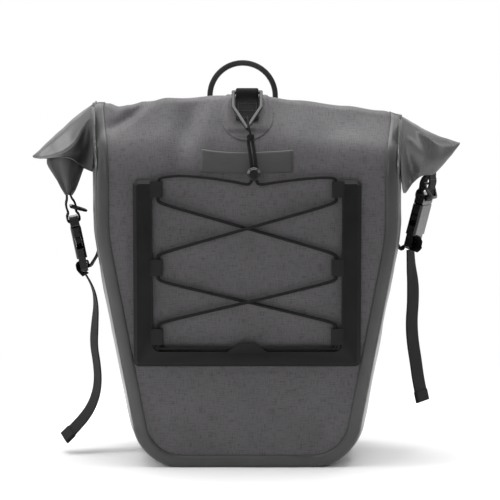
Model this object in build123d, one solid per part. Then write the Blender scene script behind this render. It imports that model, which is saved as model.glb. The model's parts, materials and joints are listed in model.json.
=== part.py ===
from build123d import *
import math
import os

# Roll-top pannier bag. Millimetres, +Z up, the front faces -Y, the origin is on the floor
# under the middle of the bag.

# ---------------------------------------------------------------- bag body
BAG_DEPTH = 144.0          # front panel to back panel
BAG_HEIGHT = 388.0         # floor to the fold at the top
BAG_HALF_WIDTH = 158.0     # at the front edge, above the taper
BASE_HALF_WIDTH = 112.0    # where the tapered sides would meet the floor
TAPER_TOP_Z = 245.0        # the sides are upright above this height
BASE_CORNER_R = 52.0
SHOULDER_R = 200.0
SIDE_BULGE = 8.0           # how far the gusset stands out past the front edge
SIDE_FLAT_HALF = 36.0      # half the depth of the gusset's flat middle
WALL = 2.4
COLLAR_DEPTH = 22.0        # thickness of the folded collar at the top
COLLAR_FRONT_SETBACK = 42.0
FRONT_BEND_Z = 330.0
FRONT_BEND_R = 80.0
COLLAR_FRONT_R = 12.0
BACK_PANEL_TOP_Z = 325.0
COLLAR_BACK_Z = 340.0
EDGE_R = 6.0
SPAN = 300.0               # wider than the bag, for cutting blocks
ROOF = 500.0               # higher than the bag
FRONT_REACH = 60.0         # where flat shapes start, ahead of the front
BOARD_THICK = 2.0          # stiffener boards
BOARD_MARGIN = 14.0
BOARD_GAP = 0.2

# ---------------------------------------------------------------- roll and wings
ROLL_GAP = 0.5
ROLL_DEPTH = 38.0
ROLL_BOTTOM_Z = 343.0
ROLL_TOP_Z = 386.0
ROLL_R = 14.0
SLAT_THICK = 2.0           # stiffening slat inside the roll
SLAT_HEIGHT = 22.0
SLAT_HALF_LENGTH = 120.0
SLAT_GAP = 0.3

# ---------------------------------------------------------------- seam tape, patch, label
TAPE_WIDTH = 12.5
TAPE_THICK = 0.8
PATCH_R = 28.0
PATCH_Z = 366.0
PATCH_THICK = 0.8
LABEL_LENGTH = 97.0
LABEL_HEIGHT = 24.0
LABEL_THICK = 1.6
LABEL_Z = 325.5
LABEL_CORNER_R = 1.5

# ---------------------------------------------------------------- lacing frame
FRAME_MARGIN = 26.0        # from the seam tape in to the frame
FRAME_BOTTOM_Z = 109.0
FRAME_TOP_Z = 305.5
FRAME_BAR = 20.0           # width of the side bars
FRAME_BASE_BAR = 16.0
FRAME_THICK = 7.0
FRAME_CHAMFER = 4.0
FRAME_INNER_R = 8.0
FRAME_OUTER_R = 6.0
TAB_REACH = 11.0
TAB_ROOT = 2.0             # how far a tab runs into its side bar
TAB_HEIGHT = 17.0
TAB_ROWS = (296.0, 214.0, 141.0)
TAB_THICK = 7.0
TAB_STANDOFF = 1.0
TAB_EDGE_R = 1.5
CATCH_HALF_WIDTH = 9.0
CATCH_FOOT_HALF = 22.0
CATCH_HEIGHT = 9.0
CATCH_THICK = 2.0

# ---------------------------------------------------------------- bungee cord
CORD_D = 3.5
CORD_CLEARANCE = 0.45
TAB_TURN_R = 5.0           # the cord's bend round a tab
CORD_END_GAP = 4.2         # from a tab's end to the corner of the cord's route
CORD_PATH_INSET = 4.6      # from a tab's tip to the cord's line
OVER_BOW = 2.6             # the strand in front at a crossing
UNDER_BOW = 2.0            # the strand behind
TOP_TURN_R = 4.0           # the cord's bend into the top tabs
LOCK_LEAD_IN = 5.5         # straight cord above the lock
LOCK_LEAD_OUT = 2.6        # and below it
# Each side's run from the lock to the top tab: out from its strand, back from the lock's
# cords, and up from the lock's underside.
TOP_STRAND = {
    -1: [(6.0, 0.0, -4.2), (20.0, -0.6, -0.6), (46.0, 0.4, 3.4), (81.7, 0.8, 5.2)],
    1: [(6.0, 0.0, -4.4), (20.0, -0.6, -1.6), (44.0, 0.4, 1.6), (67.7, 0.8, 3.0)],
}

# ---------------------------------------------------------------- cord lock and knot
LOCK_X = 7.0
LOCK_Z = 312.0
LOCK_R = 7.0
LOCK_LENGTH = 13.0
LOCK_STANDOFF = 1.6
LOCK_BORE_PITCH = 4.8
LOCK_CORD_OUT = 3.9        # the bores' line, from the lock's back face
LOCK_POCKET_R = 2.6
LOCK_POCKET_DEPTH = 6.2
LOCK_CHAMFER = 0.8
BUTTON_R = 5.6
BUTTON_THICK = 3.0
BUTTON_TRAVEL = 2.5
BUTTON_PIN_R = 2.4
BUTTON_CHAMFER = 0.6
BUTTON_GAP = 0.3           # left behind the pressed cap
BUTTON_PIN_END_GAP = 0.4   # left under the pressed pin
BUTTON_ROOT = 0.2          # how far the pin runs into the cap
KNOT_R = 4.6
KNOT_HEIGHT = 8.0
KNOT_EDGE_R = 1.4
KNOT_X = 3.5
KNOT_BACK = 1.0            # the knot's middle, behind the same face
KNOT_Z = 350.0
KNOT_END_GAP = 0.9         # where a cord that leans meets the knot's face
LOOP_END_GAP = 1.2
LOOP_R = 1.2               # the thinner loop that ties the knot to the hook ring
LOOP_TURN_R = 2.64
LOOP_SPREAD = 2.2          # each leg of the loop, from the knot's middle
LOOP_LOW = 1.0             # the loop passes the ring this far above its point
LOOP_HIGH = 11.0           # and closes this far above it
LOOP_OFF_RING = 1.8        # from the ring's face to the loop's middle

# ---------------------------------------------------------------- hook ring and its tab
HOOK_TAB_WIDTH = 24.0
HOOK_TAB_THICK = 2.6
HOOK_TAB_BOTTOM_Z = 362.0
HOOK_BAR_BACK = 37.0       # the ring's bar, behind the front panel's face
HOOK_BAR_Z = 397.4
HOOK_LOOP_R = 4.9
HOOK_LOOP_BORE = 2.9
TONGUE_HALF = 1.5          # half the thickness of the strip's upright end
TONGUE_DROP = 7.0          # how far it starts below the fold
RING_WIRE = 3.6
RING_SIDES = 2.8           # from the hook strip's edge to the ring's middle line
RING_SIDE = 21.0           # the straight sides, before they run to the point
RING_APEX_BACK = 4.0       # the ring's point, behind the same face
RING_APEX_Z = 359.5

# ---------------------------------------------------------------- carry handle
HANDLE_R = 37.5            # the strap's middle line
HANDLE_TOP_Z = 436.0
HANDLE_THICK = 6.0
HANDLE_WIDTH = 20.0
HANDLE_RIM_R = 1.6
HANDLE_X = -5.5            # the hooks sit a little off the middle of their rail
HANDLE_FOOT_Z = 344.0
HANDLE_CLEARANCE = 0.4

# ---------------------------------------------------------------- back rails and hooks
RAIL_THICK = 8.0
RAIL_HALF_WIDTH = 110.0
RAIL_BOTTOM_Z = 290.0
RAIL_TOP_Z = 322.0
RAIL_SLOT_HEIGHT = 9.0
RAIL_SLOT_DEPTH = 5.0
TUBE_R = 8.0               # rack tube that the hooks take
TUBE_Z = 318.0
TUBE_OUT = 16.0            # tube's axis, from the hook's back face
HOOK_WIDTH = 26.0
HOOK_TOP_Z = 356.0
HOOK_LIP_Z = 300.0
HOOK_LIP_THICK = 5.0
HOOK_FOOT_Z = 282.0
HOOK_SLOT = 9.0
HOOK_CHAMFER = 2.0
HOOK_SLOT_END = 1.0        # the latch slot runs this far past the latch
LATCH_WIDTH = 8.0
LATCH_Z = 306.0
LATCH_HUB_R = 3.5
LATCH_BACK = 4.0           # the pin's axis, from the inner face of the hook's plate
LATCH_PIN_R = 1.5
LATCH_THICK = 5.0
LATCH_REACH = 13.5
PIN_GAP = 0.06
LOWER_RAIL_HALF = 70.0
LOWER_RAIL_BOTTOM_Z = 92.0
LOWER_RAIL_TOP_Z = 114.0
ANCHOR_R = 10.0
ANCHOR_ARM = 34.0
ANCHOR_ARM_WIDTH = 12.0
ANCHOR_THICK = 5.0
ANCHOR_HOOK_OUT = 20.0
ANCHOR_GAP = 0.3
ANCHOR_BOSS_R = 4.0
ANCHOR_CAP = 3.0
ANCHOR_CAP_CHAMFER = 1.0
SCREW_HEAD_R = 3.6
SCREW_HEAD = 2.4
SCREW_EDGE_R = 0.8
SCREW_DRIVE = (4.6, 1.6, 1.0)
SCREW_INSET = 10.0         # from a rail's end
SCREW_RISE = 5.0           # from the upper rail's lower edge

# ---------------------------------------------------------------- webbing and buckles
WEB_WIDTH = 25.0
WEB_THICK = 1.6
BUCKLE_SIDES = 9.0         # how much wider the buckle is than its webbing
BUCKLE_THICK = 10.0
MALE_LENGTH = 12.0
BAR_HEIGHT = 4.2
BAR_SLOT = 3.4
BAR_SIDE = 4.0
BUCKLE_CORNER_R = 2.5
SOCKET_LENGTH = 34.0
SOCKET_WALL = 2.2
SOCKET_DEPTH = 27.0
SOCKET_OVER = 1.0          # how far the socket stands out past the plate, each way
SOCKET_EXTRA = 1.5         # and how much thicker it is
SOCKET_CORNER_R = 3.0
BUCKLE_GAP = 0.3
WINDOW_TOP = 10.5
WINDOW_HEIGHT = 13.0
WINDOW_CLEARANCE = 0.4
PRONG_THICK = 6.0
PRONG_INSET = 7.0          # the prong's root, from the buckle's edge
PRONG_WIDTH = 4.0
PRONG_LENGTH = 22.0
PRONG_GAP = 0.8
PRONG_SWELL = 0.6          # the prong widens by this much towards its catch
PRONG_CATCH_GAP = 1.2      # between the catch and the window's end
PRONG_CATCH_IN = 0.4       # the catch, from the socket's side
LADDER_LENGTH = 15.0
LADDER_THICK = 8.0
LADDER_SLOTS = (5.0, 11.0)
LADDER_SLOT_HALF = 1.5
GUIDE_HALF = 2.8
GUIDE_LENGTH = 20.0
D_RING_WIRE = 3.2
D_RING_SIDES = 2.5         # how far the ring's bar stands out past the webbing, each way
D_RING_DROP = 17.0
D_RING_CLEARANCE = 0.5
TOP_STRAP_LENGTH = 19.0
TOP_STRAP_EDGE_R = 1.5
STRAP_EASE = 0.2           # room between the strap's loop and the buckle's bar
D_RING_DOWN = 8.0          # the ring's bar, below the strap's top
D_RING_SIDE = 6.0          # the bow's straight sides
D_RING_SHOULDER = 8.0
D_RING_BEND_R = 7.0
HEM_LENGTH = 12.0
HEM_THICK = 4.2
PATCH_SIDES = 5.0          # how much wider the patch is than its webbing
ANCHOR_PATCH_HEIGHT = 26.0
ANCHOR_PATCH_THICK = 2.0
ANCHOR_PATCH_CORNER_R = 3.0
PATCH_DROP = 54.0          # from a buckle's end down to its patch
PATCH_GAP = 0.25
STRAP_GAP = 0.7            # from the ladder's face to the tight strap

HALF_DEPTH = BAG_DEPTH / 2
SIDE_X = BAG_HALF_WIDTH + SIDE_BULGE
FRONT_Y = -HALF_DEPTH
BACK_Y = HALF_DEPTH
HOOK_BAR_Y = FRONT_Y + HOOK_BAR_BACK
RING_APEX_Y = FRONT_Y + RING_APEX_BACK
KNOT_Y = FRONT_Y + KNOT_BACK
FRAME_HALF_WIDTH = BAG_HALF_WIDTH - TAPE_WIDTH - FRAME_MARGIN
RING_HALF_WIDTH = HOOK_TAB_WIDTH / 2 + RING_SIDES
BUCKLE_WIDTH = WEB_WIDTH + BUCKLE_SIDES
PRONG_ROOT = BUCKLE_WIDTH / 2 - PRONG_INSET
D_RING_HALF = WEB_WIDTH / 2 + D_RING_SIDES
ANCHOR_PATCH = WEB_WIDTH + PATCH_SIDES
CORD_Y = FRONT_Y - TAB_STANDOFF - TAB_THICK / 2
TAB_TIP_X = FRAME_HALF_WIDTH - FRAME_BAR - TAB_REACH
CORD_X = TAB_TIP_X + CORD_PATH_INSET
TAPER = math.atan((BAG_HALF_WIDTH - BASE_HALF_WIDTH) / TAPER_TOP_Z)

# Each side strap: its direction outwards, where its buckle starts and ends, how far the
# buckle is turned about Z, and the route of the loose tail as (x, z), from the buckle down.
SIDES = {
    "left": {
        "sign": -1,
        "top": (191.5, 5.0, 263.0),
        "bottom": (179.5, 203.0),
        "turn": 8.0,
        "ring_tilt": 62.0,
        "tail": [(178.0, 198.0), (170.5, 186.0), (166.8, 166.0), (168.6, 143.0), (170.2, 120.0),
                 (166.6, 98.0), (165.6, 76.0), (170.8, 55.0), (182.6, 36.0), (199.0, 20.0)],
    },
    "right": {
        "sign": 1,
        "top": (195.5, 5.0, 288.0),
        "bottom": (181.0, 232.0),
        "turn": 24.0,
        "ring_tilt": 40.0,
        "tail": [(179.6, 226.0), (180.2, 209.0), (182.6, 190.0), (182.9, 168.0), (181.4, 146.0),
                 (182.8, 124.0), (186.4, 102.0), (189.0, 82.0), (192.8, 64.0)],
    },
}

# Each wing: the sections of its solid as (x, front, rear, z low, z high), from the bag out.
# Front and rear are measured back from the front panel.
WINGS = {
    "left_wing": [(-SIDE_X, 50.0, 106.0, 300.0, 386.0), (-197.0, 64.0, 98.0, 286.0, 360.0),
                  (-235.0, 76.0, 86.0, 322.0, 330.0)],
    "right_wing": [(SIDE_X, 50.0, 106.0, 292.0, 378.0), (196.0, 64.0, 98.0, 309.5, 366.0),
                   (233.0, 76.0, 86.0, 338.0, 346.0)],
}


def save(shape, name):
    export_step(shape, f"parts/{name}.step")


def block(x0, x1, y0, y1, z0, z1):
    """A box between its low and high sides."""
    size = (x1 - x0, y1 - y0, z1 - z0)
    middle = ((x0 + x1) / 2, (y0 + y1) / 2, (z0 + z1) / 2)
    return Pos(*middle) * Box(*size)


def only(shape):
    """The biggest solid of a cut."""
    return max(shape.solids(), key=lambda s: s.volume)


def round_path(points, radii):
    """Straight runs through the points, joined by tangent arcs."""
    return FilletPolyline(*points, radius=radii)


def corner_radii(points, share=0.45, tight=None):
    """An arc radius for each inner point: as large as its shorter run allows, or as given."""
    radii = []
    for i in range(1, len(points) - 1):
        a = Vector(*points[i]) - Vector(*points[i - 1])
        b = Vector(*points[i + 1]) - Vector(*points[i])
        half = math.radians(a.get_angle(b)) / 2
        radius = share * min(a.length, b.length) / math.tan(half)
        radii.append(min(radius, tight[i]) if tight and i in tight else radius)
    return radii


# ---------------------------------------------------------------- shapes that the bag's parts share
def front_outline(inset=0.0):
    """The bag seen from the front, on the XZ plane, inset from its edge."""
    top = BAG_HEIGHT + 2 * BASE_CORNER_R
    points = [(-BASE_HALF_WIDTH, 0), (BASE_HALF_WIDTH, 0), (BAG_HALF_WIDTH, TAPER_TOP_Z),
              (BAG_HALF_WIDTH, top), (-BAG_HALF_WIDTH, top), (-BAG_HALF_WIDTH, TAPER_TOP_Z)]
    face = make_face(Polyline(*points, close=True))
    low = [v for v in face.vertices() if abs(v.Y) < 1]
    face = fillet(low, BASE_CORNER_R)
    mid = [v for v in face.vertices() if abs(v.Y - TAPER_TOP_Z) < 1]
    face = fillet(mid, SHOULDER_R)
    return offset(face, -inset, kind=Kind.INTERSECTION) if inset else face


def bag_form(inset=0.0):
    """The bag's bulging outer form, or the same form inset by a wall, with a flat base."""
    front_plane = Plane((0, FRONT_Y, 0), x_dir=(1, 0, 0), z_dir=(0, -1, 0))
    slope_depth = HALF_DEPTH - SIDE_FLAT_HALF
    angle = math.degrees(math.atan(SIDE_BULGE / slope_depth))
    edge = front_plane * front_outline(inset)
    wide = front_plane.offset(-slope_depth) * front_outline(inset - SIDE_BULGE)
    front_part = extrude(edge, -slope_depth, taper=-angle)
    middle = extrude(wide, -2 * SIDE_FLAT_HALF)
    form = front_part + middle + mirror(front_part, about=Plane.XZ)
    span = 3 * BAG_HALF_WIDTH
    return form & block(-span, span, -span, span, inset, BAG_HEIGHT)


def side_profile():
    """The bag seen from its side, on the YZ plane: upright, then leaning back to the collar."""
    front_top = FRONT_Y + COLLAR_FRONT_SETBACK
    collar_back = front_top + COLLAR_DEPTH
    points = [(FRONT_Y, 0), (FRONT_Y, FRONT_BEND_Z), (front_top, BAG_HEIGHT),
              (collar_back, BAG_HEIGHT), (collar_back, COLLAR_BACK_Z),
              (BACK_Y, BACK_PANEL_TOP_Z), (BACK_Y, 0)]
    face = make_face(Polyline(*points, close=True))

    def corner(y, z):
        return [v for v in face.vertices() if abs(v.X - y) < 0.5 and abs(v.Y - z) < 0.5]

    face = fillet(corner(FRONT_Y, FRONT_BEND_Z), FRONT_BEND_R)
    face = fillet(corner(front_top, BAG_HEIGHT), COLLAR_FRONT_R)
    face = fillet(corner(collar_back, BAG_HEIGHT), EDGE_R)
    face = fillet(corner(collar_back, COLLAR_BACK_Z), EDGE_R)
    return face


def across(face, half=SPAN):
    """Extrude a YZ face along X, both ways."""
    return extrude(Plane.YZ * face, half, both=True)


def front_skin(thick):
    """A skin on the outside of the front, as far up as the top fold."""
    profile = side_profile()
    grown = offset(profile, thick, kind=Kind.INTERSECTION)
    skin = across(grown) - across(profile)
    fold_y = FRONT_Y + COLLAR_FRONT_SETBACK + COLLAR_DEPTH / 2
    return skin & block(-SPAN, SPAN, FRONT_Y - 2 * thick, fold_y, 0, ROOF)


def front_shape(face):
    """Extrude an XZ face through the front half of the bag."""
    plane = Plane((0, FRONT_Y - FRONT_REACH, 0), x_dir=(1, 0, 0), z_dir=(0, -1, 0))
    return extrude(plane * face, -BAG_DEPTH)


# ---------------------------------------------------------------- bag body
def bag_shell():
    outer = bag_form()
    inner = bag_form(WALL)
    profile = side_profile()
    inside = offset(profile, -WALL, kind=Kind.INTERSECTION)
    floor_strip = make_face(Polyline((FRONT_Y + WALL, 0), (BACK_Y - WALL, 0),
                                     (BACK_Y - WALL, 2 * WALL), (FRONT_Y + WALL, 2 * WALL),
                                     close=True))
    core = across(inside) + across(floor_strip)
    gusset = (outer - inner) & core
    skin = (outer & across(profile)) - core
    back_cut = block(-SPAN, SPAN, BACK_Y - WALL, BACK_Y + 1, -1, ROOF)
    back = skin & back_cut
    rest = skin - back_cut
    fold_y = FRONT_Y + COLLAR_FRONT_SETBACK + COLLAR_DEPTH / 2
    front_cut = block(-SPAN, SPAN, FRONT_Y - 1, fold_y, -1, ROOF)
    front = rest & front_cut
    collar = rest - front_cut
    save(only(gusset), "side_gusset")
    save(only(front), "front_panel")
    save(only(back), "back_panel")
    save(only(collar), "rear_collar")


def stiffener_boards():
    y1 = BACK_Y - WALL - BOARD_GAP
    face = front_outline(BOARD_MARGIN)
    plane = Plane((0, y1, 0), x_dir=(1, 0, 0), z_dir=(0, -1, 0))
    board = extrude(plane * face, BOARD_THICK)
    z0 = WALL + BOARD_THICK + 2 * BOARD_GAP
    board = board & block(-SPAN, SPAN, 0, y1 + 1, z0, BACK_PANEL_TOP_Z - BOARD_MARGIN)
    save(only(board), "back_board")
    half = BASE_HALF_WIDTH - BASE_CORNER_R
    base = block(-half, half, FRONT_Y + WALL + BOARD_MARGIN, y1, WALL + BOARD_GAP,
                 WALL + BOARD_GAP + BOARD_THICK)
    edges = base.edges().filter_by(Axis.Z)
    save(fillet(edges, EDGE_R), "base_board")


def roll_and_wings():
    y0 = FRONT_Y + COLLAR_FRONT_SETBACK + COLLAR_DEPTH + ROLL_GAP
    roll = block(-SIDE_X, SIDE_X, y0, y0 + ROLL_DEPTH, ROLL_BOTTOM_Z, ROLL_TOP_Z)
    roll = fillet(roll.edges().filter_by(Axis.X), ROLL_R)
    y_mid = y0 + ROLL_DEPTH / 2
    z_mid = (ROLL_BOTTOM_Z + ROLL_TOP_Z) / 2
    slat_size = (2 * SLAT_HALF_LENGTH, SLAT_THICK, SLAT_HEIGHT)
    slot_size = [length + 2 * SLAT_GAP for length in slat_size]
    roll = roll - Pos(0, y_mid, z_mid) * Box(*slot_size)
    save(only(roll), "roll_top")
    save(Pos(0, y_mid, z_mid) * Box(*slat_size), "roll_slat")
    for name, sections in WINGS.items():
        faces = []
        for x, front, rear, za, zb in sections:
            ya, yb = FRONT_Y + front, FRONT_Y + rear
            corners = [(x, ya, za), (x, yb, za), (x, yb, zb), (x, ya, zb)]
            faces.append(make_face(Polyline(*corners, close=True)))
        parts = [loft([faces[0], faces[1]], ruled=True), loft([faces[1], faces[2]], ruled=True)]
        save(only(parts[0] + parts[1]), name)


# ---------------------------------------------------------------- on the front
def seam_tape():
    band = front_outline() - front_outline(TAPE_WIDTH)
    tape = front_shape(band) & front_skin(TAPE_THICK)
    save(only(tape), "seam_tape")


def patch_and_label():
    disc = Pos(0, PATCH_Z) * Circle(PATCH_R)
    save(only(front_shape(disc) & front_skin(PATCH_THICK)), "hook_patch")
    plate = Pos(0, LABEL_Z) * RectangleRounded(LABEL_LENGTH, LABEL_HEIGHT, LABEL_CORNER_R)
    save(only(front_shape(plate) & front_skin(LABEL_THICK)), "rubber_label")


def hook_tab_and_ring():
    half = HOOK_TAB_WIDTH / 2
    strip_face = Pos(0, (HOOK_TAB_BOTTOM_Z + BAG_HEIGHT) / 2) * Rectangle(
        HOOK_TAB_WIDTH, BAG_HEIGHT - HOOK_TAB_BOTTOM_Z)
    strip = (front_shape(strip_face) & front_skin(PATCH_THICK + HOOK_TAB_THICK))
    strip = strip - across(offset(side_profile(), PATCH_THICK, kind=Kind.INTERSECTION))
    strip = strip & block(-half, half, FRONT_Y - 10, HOOK_BAR_Y + 2, 0, ROOF)
    tongue = block(-half, half, HOOK_BAR_Y - TONGUE_HALF, HOOK_BAR_Y + TONGUE_HALF,
                   BAG_HEIGHT - TONGUE_DROP, HOOK_BAR_Z)
    tongue = tongue - across(offset(side_profile(), PATCH_THICK, kind=Kind.INTERSECTION))
    bar_line = Pos(0, HOOK_BAR_Y, HOOK_BAR_Z) * Rot(0, 90, 0)
    loop = bar_line * Cylinder(HOOK_LOOP_R, HOOK_TAB_WIDTH)
    tab = strip + tongue + loop - bar_line * Cylinder(HOOK_LOOP_BORE, 2 * HOOK_TAB_WIDTH)
    save(only(tab), "hook_tab")

    drop = Vector(0, RING_APEX_Y - HOOK_BAR_Y, RING_APEX_Z - HOOK_BAR_Z)
    plane = Plane((0, HOOK_BAR_Y, HOOK_BAR_Z), x_dir=(1, 0, 0), z_dir=drop.cross(Vector(1, 0, 0)))
    reach = drop.length * (1 if plane.y_dir.dot(drop) > 0 else -1)
    side_end = math.copysign(RING_SIDE, reach)
    outline = make_face(Polyline((-RING_HALF_WIDTH, 0), (RING_HALF_WIDTH, 0),
                                 (RING_HALF_WIDTH, side_end), (0, reach),
                                 (-RING_HALF_WIDTH, side_end), close=True))
    outer = offset(outline, RING_WIRE / 2, kind=Kind.ARC)
    inner = offset(outline, -RING_WIRE / 2, kind=Kind.INTERSECTION)
    ring = extrude(plane * (outer - inner), RING_WIRE / 2, both=True)
    long_edges = ring.edges().filter_by(lambda e: abs(e.center().X) < 2 * RING_HALF_WIDTH)
    flat_edges = [e for e in long_edges if abs(e.tangent_at(0.5).dot(plane.z_dir)) < 0.1]
    save(only(fillet(flat_edges, RING_WIRE / 4)), "hook_ring")


def lacing_frame():
    """A moulded U with three tabs on each side and a catch in the middle of its base bar."""
    w = FRAME_HALF_WIDTH
    outer = Pos(0, (FRAME_BOTTOM_Z + FRAME_TOP_Z) / 2) * RectangleRounded(
        2 * w, FRAME_TOP_Z - FRAME_BOTTOM_Z, FRAME_OUTER_R)
    inner_bottom = FRAME_BOTTOM_Z + FRAME_BASE_BAR
    inner_top = FRAME_TOP_Z + 2 * FRAME_INNER_R
    inner = Pos(0, (inner_bottom + inner_top) / 2) * RectangleRounded(
        2 * (w - FRAME_BAR), inner_top - inner_bottom, FRAME_INNER_R)
    catch_top = inner_bottom + CATCH_HEIGHT
    catch = make_face(Polyline((-CATCH_FOOT_HALF, inner_bottom - 1),
                               (CATCH_FOOT_HALF, inner_bottom - 1),
                               (CATCH_HALF_WIDTH, catch_top),
                               (-CATCH_HALF_WIDTH, catch_top), close=True))
    plane = Plane((0, FRONT_Y, 0), x_dir=(1, 0, 0), z_dir=(0, -1, 0))
    frame = extrude(plane * (outer - inner), FRAME_THICK)
    front_edges = frame.edges().filter_by(
        lambda e: abs(e.center().Y - (FRONT_Y - FRAME_THICK)) < 0.01
        and (abs(e.center().X) > w - FRAME_OUTER_R / 2
             or e.center().Z < FRAME_BOTTOM_Z + FRAME_OUTER_R / 2))
    frame = chamfer(front_edges, FRAME_CHAMFER)
    catch_plate = extrude(plane.offset(FRAME_THICK - CATCH_THICK) * catch,
                          CATCH_THICK + FRAME_CHAMFER / 2)
    frame = frame + catch_plate
    bore_r = CORD_D / 2 + CORD_CLEARANCE
    for side in (-1, 1):
        for z in TAB_ROWS:
            x0, x1 = sorted((side * (w - FRAME_BAR + TAB_ROOT), side * TAB_TIP_X))
            y1 = FRONT_Y - TAB_STANDOFF
            tab = block(x0, x1, y1 - TAB_THICK, y1, z - TAB_HEIGHT / 2, z + TAB_HEIGHT / 2)
            tip = tab.edges().filter_by(Axis.Z).filter_by(
                lambda e: abs(abs(e.center().X) - TAB_TIP_X) < 0.01)
            frame = frame + fillet(tip, TAB_EDGE_R)
            bore = Pos(side * CORD_X, CORD_Y, z) * Cylinder(bore_r, 2 * TAB_HEIGHT)
            frame = frame - bore
    cord_z = TAB_ROWS[2] - TAB_HEIGHT / 2 - CORD_END_GAP
    groove = Pos(0, CORD_Y, cord_z) * Rot(0, 90, 0) * Cylinder(bore_r, 2 * CORD_X)
    save(only(frame - groove), "lacing_frame")


# ---------------------------------------------------------------- bungee cord
def tab_ends(row):
    """The heights of the cord's corners above and below a row of tabs."""
    half = TAB_HEIGHT / 2 + CORD_END_GAP
    return TAB_ROWS[row] + half, TAB_ROWS[row] - half


def half_lacing(side):
    """The cord's route from the knot down one side and along the diagonals, as (x, y, z)."""
    x = side * CORD_X
    top_high, top_low = tab_ends(0)
    mid_high, mid_low = tab_ends(1)
    low_high, low_low = tab_ends(2)
    over = CORD_Y - OVER_BOW
    under = CORD_Y + UNDER_BOW
    first, second = (under, over) if side < 0 else (over, under)
    strand = LOCK_X + side * LOCK_BORE_PITCH / 2
    lock_y = lock_cord_y()
    lock_low = LOCK_Z - LOCK_R
    spread = [(strand + side * out, lock_y + back, lock_low + rise)
              for out, back, rise in TOP_STRAND[side]]
    return [
        (KNOT_X + side * LOCK_BORE_PITCH / 2, KNOT_Y, KNOT_Z - KNOT_HEIGHT / 2 - KNOT_END_GAP),
        (strand, lock_y, LOCK_Z + LOCK_R + LOCK_LEAD_IN),
        (strand, lock_y, lock_low - LOCK_LEAD_OUT),
        *spread,
        (x, CORD_Y, top_high),
        (x, CORD_Y, top_low),
        (0, first, (top_low + mid_high) / 2),
        (-x, CORD_Y, mid_high),
        (-x, CORD_Y, mid_low),
        (0, second, (mid_low + low_high) / 2),
        (x, CORD_Y, low_high),
        (x, CORD_Y, low_low),
    ]


def lock_cord_y():
    return FRONT_Y - LOCK_STANDOFF - LOCK_CORD_OUT


def bungee_cord():
    down = half_lacing(-1)
    up = half_lacing(1)[::-1]
    points = down + up
    last = len(points) - 1
    at_tabs = [i for i, point in enumerate(down) if abs(abs(point[0]) - CORD_X) < 0.01]
    tight = {i: TOP_TURN_R if i == at_tabs[0] else TAB_TURN_R for i in at_tabs}
    tight.update({last - i: radius for i, radius in tight.items()})
    radii = corner_radii(points, tight=tight)
    path = round_path(points, radii)
    start = Plane(origin=path @ 0, z_dir=path % 0)
    tube = sweep(start * Circle(CORD_D / 2), path=path)
    expected = math.pi * (CORD_D / 2) ** 2 * path.length
    print("bungee length", round(path.length, 1), "volume", round(tube.volume / expected, 4))
    print("bungee radii", [round(r, 1) for r in radii])
    save(only(tube), "bungee_cord")


def cord_lock_and_knot():
    back = FRONT_Y - LOCK_STANDOFF
    front = back - LOCK_LENGTH
    body = Pos(LOCK_X, (back + front) / 2, LOCK_Z) * Rot(90, 0, 0) * Cylinder(LOCK_R, LOCK_LENGTH)
    body = chamfer(body.edges(), LOCK_CHAMFER)
    for side in (-1, 1):
        bore = Pos(LOCK_X + side * LOCK_BORE_PITCH / 2, lock_cord_y(), LOCK_Z)
        body = body - bore * Cylinder(CORD_D / 2 + CORD_CLEARANCE / 2, 4 * LOCK_R)
    pocket_y = front + LOCK_POCKET_DEPTH / 2
    body = body - Pos(LOCK_X, pocket_y, LOCK_Z) * Rot(90, 0, 0) * Cylinder(
        LOCK_POCKET_R, LOCK_POCKET_DEPTH)
    save(only(body), "cord_lock_body")
    cap_back = front - BUTTON_TRAVEL - BUTTON_GAP
    cap = Pos(LOCK_X, cap_back - BUTTON_THICK / 2, LOCK_Z) * Rot(90, 0, 0) * Cylinder(
        BUTTON_R, BUTTON_THICK)
    cap = chamfer(cap.edges(), BUTTON_CHAMFER)
    pin_end = front + LOCK_POCKET_DEPTH - BUTTON_TRAVEL - BUTTON_PIN_END_GAP
    pin = Pos(LOCK_X, (cap_back + pin_end) / 2, LOCK_Z) * Rot(90, 0, 0) * Cylinder(
        BUTTON_PIN_R, pin_end - cap_back + BUTTON_ROOT)
    save(only(cap + pin), "cord_lock_button")
    knot = Pos(KNOT_X, KNOT_Y, KNOT_Z) * Cylinder(KNOT_R, KNOT_HEIGHT)
    save(fillet(knot.edges(), KNOT_EDGE_R), "bungee_knot")
    path = round_path(knot_loop_route(), [LOOP_TURN_R] * 4)
    start = Plane(origin=path @ 0, z_dir=path % 0)
    save(only(sweep(start * Circle(LOOP_R), path=path)), "knot_loop")


def knot_loop_route():
    """The loop from the knot round the point of the hook ring, in front of it and behind."""
    apex = Vector(0, RING_APEX_Y, RING_APEX_Z)
    along = (Vector(0, HOOK_BAR_Y, HOOK_BAR_Z) - apex).normalized()
    across_ring = Vector(0, -along.Z, along.Y)
    out = across_ring * (RING_WIRE / 2 + LOOP_OFF_RING)
    low, high = apex - along * LOOP_LOW, apex + along * LOOP_HIGH
    lean = Vector(KNOT_X / 2, 0, 0)
    top = KNOT_Z + KNOT_HEIGHT / 2 + LOOP_END_GAP
    ends = [Vector(KNOT_X, KNOT_Y + dy, top) for dy in (-LOOP_SPREAD, LOOP_SPREAD)]
    return [ends[0], low + out + lean, high + out, high - out, low - out + lean, ends[1]]


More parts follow.
